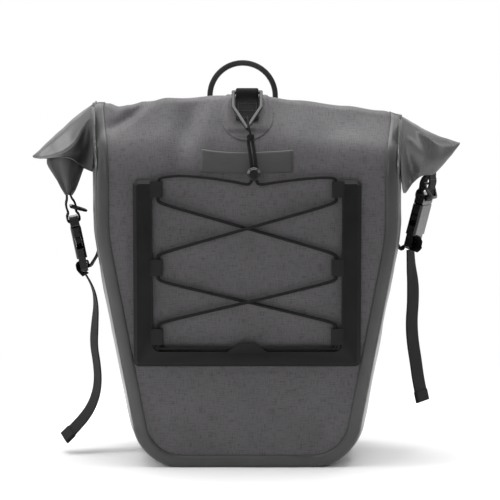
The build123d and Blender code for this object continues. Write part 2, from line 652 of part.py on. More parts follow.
# ---------------------------------------------------------------- back rails, hooks and handle
def rails():
    y0, y1 = BACK_Y, BACK_Y + RAIL_THICK
    upper = block(-RAIL_HALF_WIDTH, RAIL_HALF_WIDTH, y0, y1, RAIL_BOTTOM_Z, RAIL_TOP_Z)
    upper = fillet(upper.edges().filter_by(Axis.Y), EDGE_R)
    slot_z = (RAIL_BOTTOM_Z + RAIL_TOP_Z) / 2
    slot = Pos(0, y1 - RAIL_SLOT_DEPTH / 2, slot_z) * Box(
        2 * RAIL_HALF_WIDTH - 4 * EDGE_R, RAIL_SLOT_DEPTH, RAIL_SLOT_HEIGHT)
    save(only(upper - slot), "upper_rail")
    lower = block(-LOWER_RAIL_HALF, LOWER_RAIL_HALF, y0, y1, LOWER_RAIL_BOTTOM_Z, LOWER_RAIL_TOP_Z)
    lower = fillet(lower.edges().filter_by(Axis.Y), EDGE_R)
    axis_z = (LOWER_RAIL_BOTTOM_Z + LOWER_RAIL_TOP_Z) / 2
    save(lower, "lower_rail")
    screws = []
    for z, half in ((RAIL_BOTTOM_Z + SCREW_RISE, RAIL_HALF_WIDTH - SCREW_INSET),
                    (axis_z, LOWER_RAIL_HALF - SCREW_INSET)):
        for side in (-1, 1):
            screws.append(screw(side * half, y1, z))
    save(Compound(screws), "rail_screws")


def screw(x, y, z):
    """A pan-head screw whose head sits on the face at y, facing +Y."""
    head = Pos(x, y + SCREW_HEAD / 2, z) * Rot(90, 0, 0) * Cylinder(SCREW_HEAD_R, SCREW_HEAD)
    rim = head.edges().filter_by(GeomType.CIRCLE).sort_by(Axis.Y)[-1:]
    return fillet(rim, SCREW_EDGE_R) - Pos(x, y + SCREW_HEAD, z) * Box(*SCREW_DRIVE)


def rack_hooks():
    """Two hooks that take a rack tube from below, each with a latch on a pin."""
    y0 = BACK_Y + RAIL_THICK
    tube_y = y0 + TUBE_OUT
    lip_y = tube_y + TUBE_R
    plate_y = tube_y - TUBE_R
    outline = make_face(Polyline((y0, HOOK_FOOT_Z), (y0, HOOK_TOP_Z),
                                 (lip_y + HOOK_LIP_THICK, HOOK_TOP_Z),
                                 (lip_y + HOOK_LIP_THICK, HOOK_LIP_Z), (lip_y, HOOK_LIP_Z),
                                 (lip_y, TUBE_Z), (plate_y, TUBE_Z),
                                 (plate_y, HOOK_FOOT_Z), close=True))
    profile = outline - Pos(tube_y, TUBE_Z) * Circle(TUBE_R)
    latch_y = plate_y - LATCH_BACK
    latch_end = LATCH_HUB_R + LATCH_REACH
    for name, side in (("left", -1), ("right", 1)):
        x = HANDLE_X + side * HANDLE_R
        hook = Pos(x, 0, 0) * across(profile, HOOK_WIDTH / 2)
        top_edges = hook.edges().filter_by(Axis.X).filter_by(
            lambda e: e.center().Z > HOOK_TOP_Z - 0.1)
        hook = chamfer(top_edges, HOOK_CHAMFER)
        across_leg = HANDLE_THICK / 2 + HANDLE_CLEARANCE
        along_leg = HANDLE_WIDTH / 2 + HANDLE_CLEARANCE
        socket = block(x - across_leg, x + across_leg, tube_y - along_leg, tube_y + along_leg,
                       HANDLE_FOOT_Z - HANDLE_CLEARANCE, HOOK_TOP_Z + 1)
        slot = block(x - HOOK_SLOT / 2, x + HOOK_SLOT / 2, y0 - 1, lip_y,
                     LATCH_Z - latch_end - HOOK_SLOT_END, LATCH_Z + LATCH_HUB_R + HOOK_SLOT_END)
        bore = Pos(x, latch_y, LATCH_Z) * Rot(0, 90, 0) * Cylinder(LATCH_PIN_R, HOOK_WIDTH + 2)
        save(only(hook - socket - slot - bore), f"rack_hook_{name}")
        pin = Pos(x, latch_y, LATCH_Z) * Rot(0, 90, 0) * Cylinder(LATCH_PIN_R, HOOK_WIDTH)
        save(pin, f"latch_pin_{name}")
        hub = Pos(x, latch_y, LATCH_Z) * Rot(0, 90, 0) * Cylinder(LATCH_HUB_R, LATCH_WIDTH)
        finger = block(x - LATCH_WIDTH / 2, x + LATCH_WIDTH / 2, latch_y, latch_y + latch_end,
                       LATCH_Z - LATCH_HUB_R, LATCH_Z - LATCH_HUB_R + LATCH_THICK)
        latch = hub + finger - Pos(x, latch_y, LATCH_Z) * Rot(0, 90, 0) * Cylinder(
            LATCH_PIN_R + PIN_GAP, 2 * LATCH_WIDTH)
        save(only(latch), f"hook_latch_{name}")
        print("latch pivot", name, x, latch_y, LATCH_Z, "tube", tube_y, TUBE_Z)


def carry_handle():
    y = BACK_Y + RAIL_THICK + TUBE_OUT
    centre_z = HANDLE_TOP_Z - HANDLE_THICK / 2 - HANDLE_R
    inner, outer = HANDLE_R - HANDLE_THICK / 2, HANDLE_R + HANDLE_THICK / 2
    arch = Circle(outer) - Circle(inner)
    arch = arch & Pos(0, outer) * Rectangle(2 * outer, 2 * outer)
    leg_height = centre_z - HANDLE_FOOT_Z
    for side in (-1, 1):
        arch = arch + Pos(side * HANDLE_R, -leg_height / 2) * Rectangle(HANDLE_THICK, leg_height)
    plane = Plane((HANDLE_X, y, centre_z), x_dir=(1, 0, 0), z_dir=(0, -1, 0))
    handle = extrude(plane * arch, HANDLE_WIDTH / 2, both=True)
    rims = handle.edges().filter_by(lambda e: abs(abs(e.center().Y - y) - HANDLE_WIDTH / 2) < 0.01)
    save(only(fillet(rims, HANDLE_RIM_R)), "carry_handle")


def anchor_hook():
    y0 = BACK_Y + RAIL_THICK + ANCHOR_GAP
    z = (LOWER_RAIL_BOTTOM_Z + LOWER_RAIL_TOP_Z) / 2
    disc = Pos(0, y0 + ANCHOR_THICK / 2, z) * Rot(90, 0, 0) * Cylinder(ANCHOR_R, ANCHOR_THICK)
    half = ANCHOR_ARM_WIDTH / 2
    arm = block(-half, half, y0, y0 + ANCHOR_THICK, z - ANCHOR_ARM, z)
    foot = block(-half, half, y0, y0 + ANCHOR_HOOK_OUT, z - ANCHOR_ARM,
                 z - ANCHOR_ARM + ANCHOR_THICK)
    lip = block(-half, half, y0 + ANCHOR_HOOK_OUT - ANCHOR_THICK, y0 + ANCHOR_HOOK_OUT,
                z - ANCHOR_ARM, z - ANCHOR_ARM + 3 * ANCHOR_THICK)
    hook = disc + arm + foot + lip
    corners = hook.edges().filter_by(Axis.X).filter_by(
        lambda e: abs(e.center().Z - (z - ANCHOR_ARM)) < 0.01)
    hook = fillet(corners, ANCHOR_THICK / 2)
    bore = Pos(0, y0, z) * Rot(90, 0, 0) * Cylinder(ANCHOR_BOSS_R + PIN_GAP, 4 * ANCHOR_THICK)
    save(only(hook - bore), "anchor_hook")
    shank_length = ANCHOR_THICK + 2 * ANCHOR_GAP
    shank = Pos(0, y0 - ANCHOR_GAP + shank_length / 2, z) * Rot(90, 0, 0) * Cylinder(
        ANCHOR_BOSS_R, shank_length)
    cap_y = y0 + ANCHOR_THICK + ANCHOR_GAP + ANCHOR_CAP / 2
    cap = Pos(0, cap_y, z) * Rot(90, 0, 0) * Cylinder(2 * ANCHOR_BOSS_R, ANCHOR_CAP)
    cap = chamfer(cap.edges().sort_by(Axis.Y)[-1:], ANCHOR_CAP_CHAMFER)
    save(only(shank + cap), "anchor_bolt")
    print("anchor pivot", 0, y0, z)


# ---------------------------------------------------------------- side straps and buckles
def buckle_frame(side):
    """The place of a side's buckle: local -Z runs down the strap and local Y is its width."""
    data = SIDES[side]
    sign = data["sign"]
    x, y, z = data["top"]
    x_low, z_low = data["bottom"]
    lean = math.degrees(math.atan((x - x_low) / (z - z_low)))
    return Pos(sign * x, y, z) * Rot(0, 0, -sign * data["turn"]) * Rot(0, sign * lean, 0)


def male_half():
    """The strap bar, base plate and centre guide of a side-release buckle."""
    half = BUCKLE_WIDTH / 2
    plate = block(-BUCKLE_THICK / 2, BUCKLE_THICK / 2, -half, half, -MALE_LENGTH, 0)
    plate = fillet(plate.edges().filter_by(Axis.X), BUCKLE_CORNER_R)
    slot = block(-BUCKLE_THICK, BUCKLE_THICK, -half + BAR_SIDE, half - BAR_SIDE,
                 -BAR_HEIGHT - BAR_SLOT, -BAR_HEIGHT)
    guide = block(-PRONG_THICK / 2, PRONG_THICK / 2, -GUIDE_HALF, GUIDE_HALF,
                  -MALE_LENGTH - GUIDE_LENGTH, -MALE_LENGTH + 1)
    return plate - slot + guide


def prong(end):
    """A side tongue of the buckle: its catch fills the socket's window."""
    top = -MALE_LENGTH - PRONG_GAP
    socket_half = BUCKLE_WIDTH / 2 + SOCKET_OVER
    window = -MALE_LENGTH - BUCKLE_GAP - WINDOW_TOP
    catch_top = window - PRONG_CATCH_GAP
    inner, outer = PRONG_ROOT - PRONG_WIDTH / 2, PRONG_ROOT + PRONG_WIDTH / 2
    points = [(inner, top), (outer, top),
              (outer + PRONG_SWELL, catch_top),
              (socket_half - PRONG_CATCH_IN, catch_top),
              (socket_half - PRONG_CATCH_IN / 2, window - WINDOW_HEIGHT / 2),
              (outer, top - PRONG_LENGTH),
              (PRONG_ROOT - PRONG_SWELL, top - PRONG_LENGTH),
              (inner + PRONG_CATCH_IN, window)]
    face = make_face(Polyline(*[(end * y, z) for y, z in points], close=True))
    return extrude(Plane.YZ * face, PRONG_THICK / 2, both=True)


def female_half():
    """The socket with a window on each edge, and the ladder that holds the loose strap."""
    half = BUCKLE_WIDTH / 2 + SOCKET_OVER
    top = -MALE_LENGTH - BUCKLE_GAP
    thick = BUCKLE_THICK + SOCKET_EXTRA
    shell = block(-thick / 2, thick / 2, -half, half, top - SOCKET_LENGTH, top)
    shell = fillet(shell.edges().filter_by(Axis.Z), SOCKET_CORNER_R)
    hollow = block(-thick / 2 + SOCKET_WALL, thick / 2 - SOCKET_WALL, -half + SOCKET_WALL,
                   half - SOCKET_WALL, top - SOCKET_DEPTH, top + 1)
    window_half = PRONG_THICK / 2 + WINDOW_CLEARANCE
    window = block(-window_half, window_half, -2 * half, 2 * half,
                   top - WINDOW_TOP - WINDOW_HEIGHT, top - WINDOW_TOP)
    low = top - SOCKET_LENGTH
    ladder_half = BUCKLE_WIDTH / 2
    ladder = block(-LADDER_THICK / 2, LADDER_THICK / 2, -ladder_half, ladder_half,
                   low - LADDER_LENGTH, low + 1)
    low_edges = ladder.edges().filter_by(Axis.X).filter_by(lambda e: e.center().Z < low - 1)
    ladder = fillet(low_edges, SOCKET_CORNER_R)
    slot_half = ladder_half - BAR_SIDE
    for drop in LADDER_SLOTS:
        ladder = ladder - block(-thick, thick, -slot_half, slot_half,
                                low - drop - LADDER_SLOT_HALF, low - drop + LADDER_SLOT_HALF)
    return shell - hollow - window + ladder


def top_strap():
    """The webbing from the wing's tip, doubled round the D-ring and the buckle's bar."""
    half = WEB_WIDTH / 2
    bar_z = -BAR_HEIGHT / 2
    loop_r = BUCKLE_THICK / 2 + WEB_THICK
    loop = Pos(0, 0, bar_z) * Box(2 * loop_r, WEB_WIDTH, BAR_HEIGHT + 2 * WEB_THICK)
    loop = fillet(loop.edges().filter_by(Axis.Y), TOP_STRAP_EDGE_R)
    band = block(-WEB_THICK, WEB_THICK, -half, half, 0, TOP_STRAP_LENGTH)
    hole = Pos(0, 0, bar_z) * Box(BUCKLE_THICK + STRAP_EASE, 2 * WEB_WIDTH,
                                   BAR_HEIGHT + STRAP_EASE)
    ring_z = TOP_STRAP_LENGTH - D_RING_DOWN
    bore_r = D_RING_WIRE / 2 + D_RING_CLEARANCE
    ring_line = Pos(0, 0, ring_z) * Rot(90, 0, 0)
    pad = ring_line * Cylinder(bore_r + WEB_THICK, WEB_WIDTH)
    bore = ring_line * Cylinder(bore_r, 2 * WEB_WIDTH)
    return loop + band + pad - hole - bore


def d_ring(tilt):
    """A bar through the strap, and a bow that hangs out from it."""
    ring_z = TOP_STRAP_LENGTH - D_RING_DOWN
    half = D_RING_HALF
    turn = Rot(0, -tilt, 0)
    low_half = half - D_RING_SHOULDER
    points = [(0, -half, 0), (0, -half, -D_RING_SIDE), (0, -low_half, -D_RING_DROP),
              (0, low_half, -D_RING_DROP), (0, half, -D_RING_SIDE), (0, half, 0)]
    bow = round_path(points, [D_RING_BEND_R] * 4)
    start = Plane(origin=bow @ 0, z_dir=bow % 0)
    wire = sweep(start * Circle(D_RING_WIRE / 2), path=bow)
    bar = Rot(90, 0, 0) * Cylinder(D_RING_WIRE / 2, 2 * half + D_RING_WIRE)
    return Pos(0, 0, ring_z) * turn * (wire + bar)


def tail_strap(side):
    """The loose tail: a flat strap whose route lies in an upright plane."""
    data = SIDES[side]
    sign = data["sign"]
    turn = math.radians(data["turn"])
    route = data["tail"]
    x0 = route[0][0]
    outwards = Vector(sign * math.cos(turn), -math.sin(turn), 0)
    plane = Plane((sign * x0, data["top"][1], 0), x_dir=outwards,
                  z_dir=outwards.cross(Vector(0, 0, 1)))
    flat = [((x - x0) / math.cos(turn), z) for x, z in route]
    radii = corner_radii([(a, b, 0) for a, b in flat])
    line = round_path([(a, b, 0) for a, b in flat], radii)
    face = trace(line, WEB_THICK)
    print("tail", side, "length", round(line.length, 1), "radii", [round(r) for r in radii])
    world = [plane.from_local_coords(Vector(a, b, 0)) for a, b in flat]
    print("tail route", side, [(round(v.X, 1), round(v.Y, 1), round(v.Z, 1)) for v in world])
    strap = extrude(plane * face, WEB_WIDTH / 2, both=True)
    end, tangent = line @ 1, line % 1
    slope = math.degrees(math.atan2(tangent.Y, tangent.X))
    hem_face = Pos(end.X, end.Y) * Rot(0, 0, slope) * Rectangle(HEM_LENGTH, HEM_THICK)
    hem = extrude(plane * hem_face, WEB_WIDTH / 2, both=True)
    return strap - hem, hem


def lower_strap(side):
    """The tight strap from the buckle's ladder down to its patch on the gusset, and the patch."""
    data = SIDES[side]
    sign = data["sign"]
    z_top = data["bottom"][1]
    y = data["top"][1]
    slope = math.degrees(TAPER)
    z_patch = z_top - PATCH_DROP
    x_edge = BAG_HALF_WIDTH - (TAPER_TOP_Z - z_patch) * math.tan(TAPER)
    x_face = x_edge + SIDE_BULGE / math.cos(TAPER)
    local = Pos(sign * (x_face + PATCH_GAP), y, z_patch) * Rot(0, sign * slope, 0)
    low, high = sorted((0, sign * ANCHOR_PATCH_THICK))
    half = ANCHOR_PATCH / 2
    patch = block(low, high, -half, half, -ANCHOR_PATCH_HEIGHT / 2, ANCHOR_PATCH_HEIGHT / 2)
    patch = local * fillet(patch.edges().filter_by(Axis.X), ANCHOR_PATCH_CORNER_R)
    ladder_z = -MALE_LENGTH - BUCKLE_GAP - SOCKET_LENGTH - LADDER_LENGTH / 2
    inner_side = -sign * (LADDER_THICK / 2 + WEB_THICK / 2 + STRAP_GAP)
    top_face = buckle_frame(side) * Pos(inner_side, 0, ladder_z) * Rectangle(WEB_THICK, WEB_WIDTH)
    end_out = sign * (ANCHOR_PATCH_THICK + WEB_THICK / 2 + PATCH_GAP)
    low_face = local * Pos(end_out, 0, 0) * Rectangle(WEB_THICK, WEB_WIDTH)
    return loft([low_face, top_face], ruled=True), patch


def side_straps():
    for side, data in SIDES.items():
        sign = data["sign"]
        place = buckle_frame(side)
        save(place * male_half(), f"{side}_buckle_male")
        save(place * female_half(), f"{side}_buckle_socket")
        save(place * prong(-1), f"{side}_prong_front")
        save(place * prong(1), f"{side}_prong_rear")
        save(place * only(top_strap()), f"{side}_top_strap")
        save(place * only(d_ring(data["ring_tilt"])), f"{side}_d_ring")
        strap, hem = tail_strap(side)
        save(only(strap), f"{side}_strap_tail")
        save(hem, f"{side}_tail_hem")
        tight, patch = lower_strap(side)
        save(tight, f"{side}_lower_strap")
        save(patch, f"{side}_anchor_patch")
        for label, point in (("ring", (0, 0, TOP_STRAP_LENGTH - D_RING_DOWN)),
                             ("prong front", (0, -PRONG_ROOT, -MALE_LENGTH - PRONG_GAP)),
                             ("prong rear", (0, PRONG_ROOT, -MALE_LENGTH - PRONG_GAP))):
            where = (place * Pos(*point)).position
            print(side, label, [round(v, 3) for v in where])
        for label, axis in (("width", (0, 1, 0)), ("thickness", (1, 0, 0))):
            tip = (place * Pos(*axis)).position - place.position
            print(side, label, [round(v, 5) for v in tip])


os.makedirs("parts", exist_ok=True)
bag_shell()
stiffener_boards()
roll_and_wings()
seam_tape()
patch_and_label()
hook_tab_and_ring()
lacing_frame()
bungee_cord()
cord_lock_and_knot()
rails()
rack_hooks()
carry_handle()
anchor_hook()
side_straps()
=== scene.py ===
import json
import math

import bpy
from mathutils import Matrix, Vector, noise


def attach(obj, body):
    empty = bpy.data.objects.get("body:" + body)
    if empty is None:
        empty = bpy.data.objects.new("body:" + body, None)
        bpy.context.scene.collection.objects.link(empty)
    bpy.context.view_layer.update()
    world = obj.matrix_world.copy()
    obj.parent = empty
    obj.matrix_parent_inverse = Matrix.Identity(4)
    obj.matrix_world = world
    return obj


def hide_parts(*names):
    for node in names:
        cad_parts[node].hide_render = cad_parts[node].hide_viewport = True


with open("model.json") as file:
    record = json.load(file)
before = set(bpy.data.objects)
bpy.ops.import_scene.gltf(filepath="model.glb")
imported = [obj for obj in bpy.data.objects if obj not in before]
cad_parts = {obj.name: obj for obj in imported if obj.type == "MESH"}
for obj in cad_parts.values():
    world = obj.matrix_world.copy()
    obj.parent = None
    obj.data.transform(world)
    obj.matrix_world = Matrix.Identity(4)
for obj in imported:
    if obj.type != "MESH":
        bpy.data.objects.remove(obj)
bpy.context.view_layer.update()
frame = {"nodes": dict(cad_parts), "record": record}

MM = 0.001

# ---------------------------------------------------------------- sizes, in millimetres
BAG_HALF_DEPTH = 72.0
FRONT_HALF_WIDTH = 158.0
BASE_HALF_WIDTH = 112.0
TAPER_TOP = 245.0
BASE_CORNER_R = 52.0
SHOULDER_R = 200.0
SIDE_BULGE = 8.0
BULGE_RUN = 36.0
CLOTH = 1.3                # thickness of the coated cloth
FOLD_Y = -19.0             # middle of the fold at the top
BACK_TOP = 325.0
SHIELD_HALF = 23.5         # the raised weld round the hook strip
SHIELD_LOW = 355.0         # its lower end, measured along the cloth
COLLAR_FRONT_V = 2.0       # how far past the fold the collar's cloth begins
ROLL_HALF = 165.6          # half the length of the rolled top
ROLL_GIRTH = 110.0
ROLL_SQUARENESS = 3.2      # 2 would be an ellipse; more is squarer
BAND_WIDTH = 25.0          # the side webbing
BAND_THICK = 1.6
LOOP_THICK = 2.2           # the doubled webbing above each buckle
BAND_STEP = 0.8            # spacing of the webbing's cross ribs
HOOK_STRIP_WIDTH = 24.0
HEM_FOLD = 12.0            # length of the hem at a tail's end
HEM_THICK = 4.0
PATCH_HALF_DEPTH = 15.0
PATCH_HALF_HEIGHT = 13.0
PATCH_MID_Y = 5.0
PATCH_DROP = 54.0          # from the buckle's lower bar to the middle of its patch
BUNGEE_RADIUS = 1.72
KNOT_RADIUS = 1.55         # a little thinner than the bungee
RING_LOOP_RADIUS = 1.15
BRAID_RELIEF = 0.035       # share of a cord's radius

# The top fold's height over its level line, from the left end to the right, as (x, rise).
TOP_LINE = [(-168, -1.0), (-158, -0.5), (-149, -2.0), (-138, -5.5), (-126, -4.0), (-110, -0.5),
            (-83, 2.5), (-40, 5.5), (16, 5.5), (52, 1.0), (106, -5.0), (144, -10.0), (168, -14.0)]

# Dents and swells in the front cloth: x, height along the cloth, half width, half height,
# turn in degrees, how far it stands out.
FRONT_RELIEF = [
    (-64, 362, 9, 26, -8, -6.0),
    (-44, 356, 9, 30, -14, 1.6),
    (-84, 350, 12, 28, 10, 1.4),
    (-126, 384, 5, 22, -52, -4.4),
    (-96, 392, 26, 12, 30, 1.6),
    (60, 356, 34, 18, 12, 1.3),
    (108, 372, 26, 14, 28, -1.6),
    (122, 346, 18, 34, -10, 1.0),
    (38, 318, 40, 8, 4, -0.8),
    (-46, 306, 44, 9, -4, -1.0),
    (-52, 262, 34, 16, 12, -1.0),
    (44, 268, 34, 14, -10, -0.9),
    (-4, 214, 60, 12, 3, -1.1),
    (0, 176, 46, 14, 0, -0.5),
    (-54, 142, 36, 10, 8, -0.9),
    (50, 150, 34, 12, -9, -0.9),
    (99, 50, 6, 34, -24, 1.7),
    (84, 46, 9, 36, -24, -1.3),
    (-92, 40, 9, 30, 26, -1.0),
    (-50, 60, 40, 20, 12, 0.8),
    (30, 52, 44, 18, -8, 0.9),
    (-136, 300, 6, 60, 0, 0.6),
    (138, 292, 6, 60, 0, 0.6),
]

# ---------------------------------------------------------------- camera and studio
CAMERA_PLACE = (0.003, -1.666, 0.371)
CAMERA_AIM = (0.003, -0.072, 0.232)
CAMERA_LENS = 109.7
FLOOR_REACH = 14.0         # metres from the middle to each edge


def make_camera():
    data = bpy.data.cameras.new("studio_camera")
    data.sensor_width = 36.0
    data.lens = CAMERA_LENS
    camera = bpy.data.objects.new("studio_camera", data)
    bpy.context.collection.objects.link(camera)
    camera.location = CAMERA_PLACE
    sight = Vector(CAMERA_AIM) - camera.location
    camera.rotation_euler = sight.to_track_quat("-Z", "Y").to_euler()
    bpy.context.scene.camera = camera


def softbox(name, place, aim, size, power, colour=(1.0, 1.0, 1.0)):
    data = bpy.data.lights.new(name, "AREA")
    data.shape = "RECTANGLE"
    data.size, data.size_y = size
    data.energy = power
    data.color = colour
    light = bpy.data.objects.new(name, data)
    bpy.context.collection.objects.link(light)
    light.location = place
    light.rotation_euler = (Vector(aim) - Vector(place)).to_track_quat("-Z", "Y").to_euler()


def studio_air(front, behind):
    """A white surround: bright behind the object and dimmer in front of it."""
    world = bpy.data.worlds.new("studio_air")
    world.use_nodes = True
    nodes, links = world.node_tree.nodes, world.node_tree.links
    light = nodes["Background"]
    direction = nodes.new("ShaderNodeSeparateXYZ")
    links.new(nodes.new("ShaderNodeTexCoord").outputs["Generated"], direction.inputs[0])
    level = nodes.new("ShaderNodeMapRange")
    level.interpolation_type = "SMOOTHSTEP"
    spread = {"From Min": -0.5, "From Max": 0.6, "To Min": front, "To Max": behind}
    for socket, value in spread.items():
        level.inputs[socket].default_value = value
    links.new(direction.outputs["Y"], level.inputs["Value"])
    links.new(level.outputs[0], light.inputs["Strength"])
    seen = nodes.new("ShaderNodeBackground")
    seen.inputs["Color"].default_value = (1.0, 1.0, 1.0, 1.0)
    light.inputs["Color"].default_value = (1.0, 1.0, 1.0, 1.0)
    mix = nodes.new("ShaderNodeMixShader")
    links.new(nodes.new("ShaderNodeLightPath").outputs["Is Camera Ray"], mix.inputs[0])
    links.new(light.outputs[0], mix.inputs[1])
    links.new(seen.outputs[0], mix.inputs[2])
    links.new(mix.outputs[0], nodes["World Output"].inputs["Surface"])
    return world


def make_studio():
    scene = bpy.context.scene
    scene.view_settings.view_transform = "Standard"
    scene.world = studio_air(front=0.10, behind=0.85)
    softbox("overhead_softbox", (0.0, 0.1, 2.0), (0, 0, 0.2), (2.2, 1.4), 50)
    softbox("left_softbox", (-1.3, -0.2, 0.9), (0, 0, 0.25), (0.4, 1.2), 10)
    softbox("right_softbox", (1.4, -0.1, 1.0), (0, 0, 0.25), (0.3, 1.0), 4)
    softbox("front_softbox", (-0.5, -2.4, 1.3), (0, 0, 0.2), (1.0, 0.8), 9)
    square = ((-1, -1), (1, -1), (1, 1), (-1, 1))
    corners = [(x * FLOOR_REACH, y * FLOOR_REACH, 0) for x, y in square]
    mesh = bpy.data.meshes.new("studio_floor")
    mesh.from_pydata(corners, [], [(0, 1, 2, 3)])
    floor = bpy.data.objects.new("studio_floor", mesh)
    bpy.context.collection.objects.link(floor)
    floor.data.materials.append(floor_finish())


# ---------------------------------------------------------------- finishes
class Finish:
    """A material whose detail comes from a few named nodes."""

    def __init__(self, name, colour, roughness, **sockets):
        self.material = bpy.data.materials.new(name)
        self.material.use_nodes = True
        self.nodes = self.material.node_tree.nodes
        self.links = self.material.node_tree.links
        self.shader = self.nodes["Principled BSDF"]
        self.set(self.shader, "Base Color", (*colour, 1.0))
        self.set(self.shader, "Roughness", roughness)
        for socket, value in sockets.items():
            self.set(self.shader, socket.replace("_", " "), value)

    @staticmethod
    def set(node, socket, value):
        node.inputs[socket].default_value = value

    def node(self, kind, inputs=(), **settings):
        made = self.nodes.new("ShaderNode" + kind)
        for key, value in settings.items():
            setattr(made, key, value)
        for socket, value in dict(inputs).items():
            if isinstance(value, bpy.types.NodeSocket):
                self.links.new(value, made.inputs[socket])
            else:
                self.set(made, socket, value)
        return made

    def place(self, scale=(1, 1, 1), cloth=False, turn=0.0):
        """Coordinates on the object, or along the cloth's own map, stretched by scale."""
        if cloth:
            source = self.node("UVMap", uv_map="cloth").outputs["UV"]
        else:
            source = self.node("TexCoord").outputs["Object"]
        spin = (0.0, 0.0, math.radians(turn))
        return self.node("Mapping", {"Vector": source, "Scale": scale, "Rotation": spin}).outputs[0]

    def grain(self, place, scale=1.0, detail=3.0, rough=0.5):
        made = self.node("TexNoise", {"Vector": place, "Scale": scale, "Detail": detail,
                                      "Roughness": rough})
        return made.outputs["Fac"]

    def ramp(self, value, low, high, dark, light):
        made = self.node("ValToRGB", {"Fac": value})
        ends = made.color_ramp.elements
        ends[0].position, ends[1].position = low, high
        ends[0].color, ends[1].color = (*dark, 1.0), (*light, 1.0)
        return made.outputs["Color"]

    def blend(self, factor, first, second, mode="MIX"):
        made = self.node("Mix", data_type="RGBA", blend_type=mode)
        for index, value in zip((0, 6, 7), (factor, first, second)):
            if isinstance(value, bpy.types.NodeSocket):
                self.links.new(value, made.inputs[index])
            elif index:
                made.inputs[index].default_value = (*value, 1.0)
            else:
                made.inputs[index].default_value = value
        return made.outputs[2]

    def sum(self, first, second, share=1.0):
        made = self.node("Math", operation="MULTIPLY_ADD")
        self.links.new(second, made.inputs[0])
        made.inputs[1].default_value = share
        self.links.new(first, made.inputs[2])
        return made.outputs[0]

    def remap(self, value, low, high, to_low, to_high):
        return self.node("MapRange", {"Value": value, "From Min": low, "From Max": high,
                                      "To Min": to_low, "To Max": to_high}).outputs[0]

    def colour(self, socket):
        self.links.new(socket, self.shader.inputs["Base Color"])

    def roughness(self, socket):
        self.links.new(socket, self.shader.inputs["Roughness"])

    def bump(self, height, distance, strength=0.6):
        made = self.node("Bump", {"Height": height, "Distance": distance, "Strength": strength})
        self.links.new(made.outputs["Normal"], self.shader.inputs["Normal"])


def grey(level, tint=0.0):
    """A neutral colour; a little tint leans to purple, a negative one to green."""
    return (level * (1 + tint), level * (1 - tint), level * (1 + tint))


def floor_finish():
    """Pale matt floor that melts into the white surround away from the object."""
    made = Finish("pale_floor", grey(0.88), 0.6, Specular_IOR_Level=0.2)
    soft = made.grain(made.place((3, 3, 3)), 1.0)
    made.colour(made.ramp(soft, 0.3, 0.7, grey(0.87), grey(0.90)))
    away = made.node("VectorMath", {0: made.node("TexCoord").outputs["Object"]}, operation="LENGTH")
    fade = {"Value": away.outputs["Value"], "From Min": 0.22, "From Max": 0.75}
    far = made.node("MapRange", fade, interpolation_type="SMOOTHSTEP").outputs[0]
    seen = made.node("LightPath").outputs["Is Camera Ray"]
    share = made.node("Math", {0: far, 1: seen}, operation="MULTIPLY").outputs[0]
    glow = made.node("Emission", {"Color": (1.0, 1.0, 1.0, 1.0), "Strength": 1.0}).outputs[0]
    mixed = made.node("MixShader", {0: share, 1: made.shader.outputs[0], 2: glow}).outputs[0]
    made.links.new(mixed, made.nodes["Material Output"].inputs["Surface"])
    return made.material


def heather_cloth():
    """Linen-look coated cloth: fine warp and weft threads of two greys under a matt coat."""
    made = Finish("heather_cloth", grey(0.06), 0.56, Sheen_Weight=0.25, Sheen_Roughness=0.4,
                  Specular_IOR_Level=0.42)
    warp = made.grain(made.place((1150, 105, 1), cloth=True), 1.0, 3.0, 0.6)
    weft = made.grain(made.place((95, 1080, 1), cloth=True), 1.0, 3.0, 0.6)
    threads = made.sum(warp, weft)
    speck = made.grain(made.place((620, 560, 1), cloth=True), 1.0, 2.0, 0.7)
    mottle = made.grain(made.place((16, 20, 1), cloth=True), 1.0, 4.0, 0.55)
    body = made.ramp(threads, 0.78, 1.22, grey(0.038, 0.035), grey(0.090, 0.03))
    flecked = made.blend(made.remap(speck, 0.60, 0.78, 0.0, 0.6), body, grey(0.17, 0.02))
    worn = made.blend(made.remap(mottle, 0.3, 0.7, 0.0, 0.35), flecked, grey(0.052, 0.03))
    made.colour(worn)
    made.roughness(made.remap(mottle, 0.3, 0.7, 0.50, 0.62))
    made.bump(threads, 0.00025, 0.35)
    return made.material


def smooth_coating(name, level, roughness, inside=None):
    """Satin polymer sheet with soft creases and handling marks; inside is the dark level of the
    painted shade in the wings' recesses and gathered folds.
    """
    made = Finish(name, grey(level, -0.01), roughness, Specular_IOR_Level=0.5)
    soft = made.grain(made.place((30, 30, 30)), 1.0, 4.0, 0.55)
    fine = made.grain(made.place((900, 900, 900)), 1.0, 2.0, 0.5)
    rub = made.grain(made.place((90, 90, 22)), 1.0, 5.0, 0.6)
    skin = made.ramp(soft, 0.3, 0.7, grey(level * 0.88, -0.01), grey(level * 1.12, -0.01))
    skin = made.blend(made.remap(rub, 0.6, 0.75, 0.0, 0.35), skin, grey(level * 1.5, -0.01))
    # Painted shade: a point attribute marks the wings' recesses and gathered folds; there the
    # colour darkens toward the inside level and the roughness rises.
    if inside is not None:
        painted_shade_mark = made.node("Attribute", attribute_name="painted_recess_shade").outputs["Fac"]
        skin = made.blend(painted_shade_mark, skin, grey(inside))
    made.colour(skin)
    satin = made.remap(rub, 0.3, 0.7, roughness - 0.05, roughness + 0.07)
    if inside is not None:
        satin = made.sum(satin, painted_shade_mark, 0.5)
    made.roughness(satin)
    made.bump(made.sum(soft, fine, 0.06), 0.0008, 0.25)
    return made.material


def label_rubber():
    made = Finish("label_rubber", grey(0.05), 0.5)
    grit = made.grain(made.place((1400, 1400, 1400)), 1.0, 2.0)
    cloud = made.grain(made.place((35, 35, 60)), 1.0, 3.0)
    made.colour(made.ramp(cloud, 0.3, 0.7, grey(0.038, -0.01), grey(0.052, -0.01)))
    made.roughness(made.remap(cloud, 0.3, 0.7, 0.44, 0.55))
    made.bump(grit, 0.0002, 0.4)
    return made.material


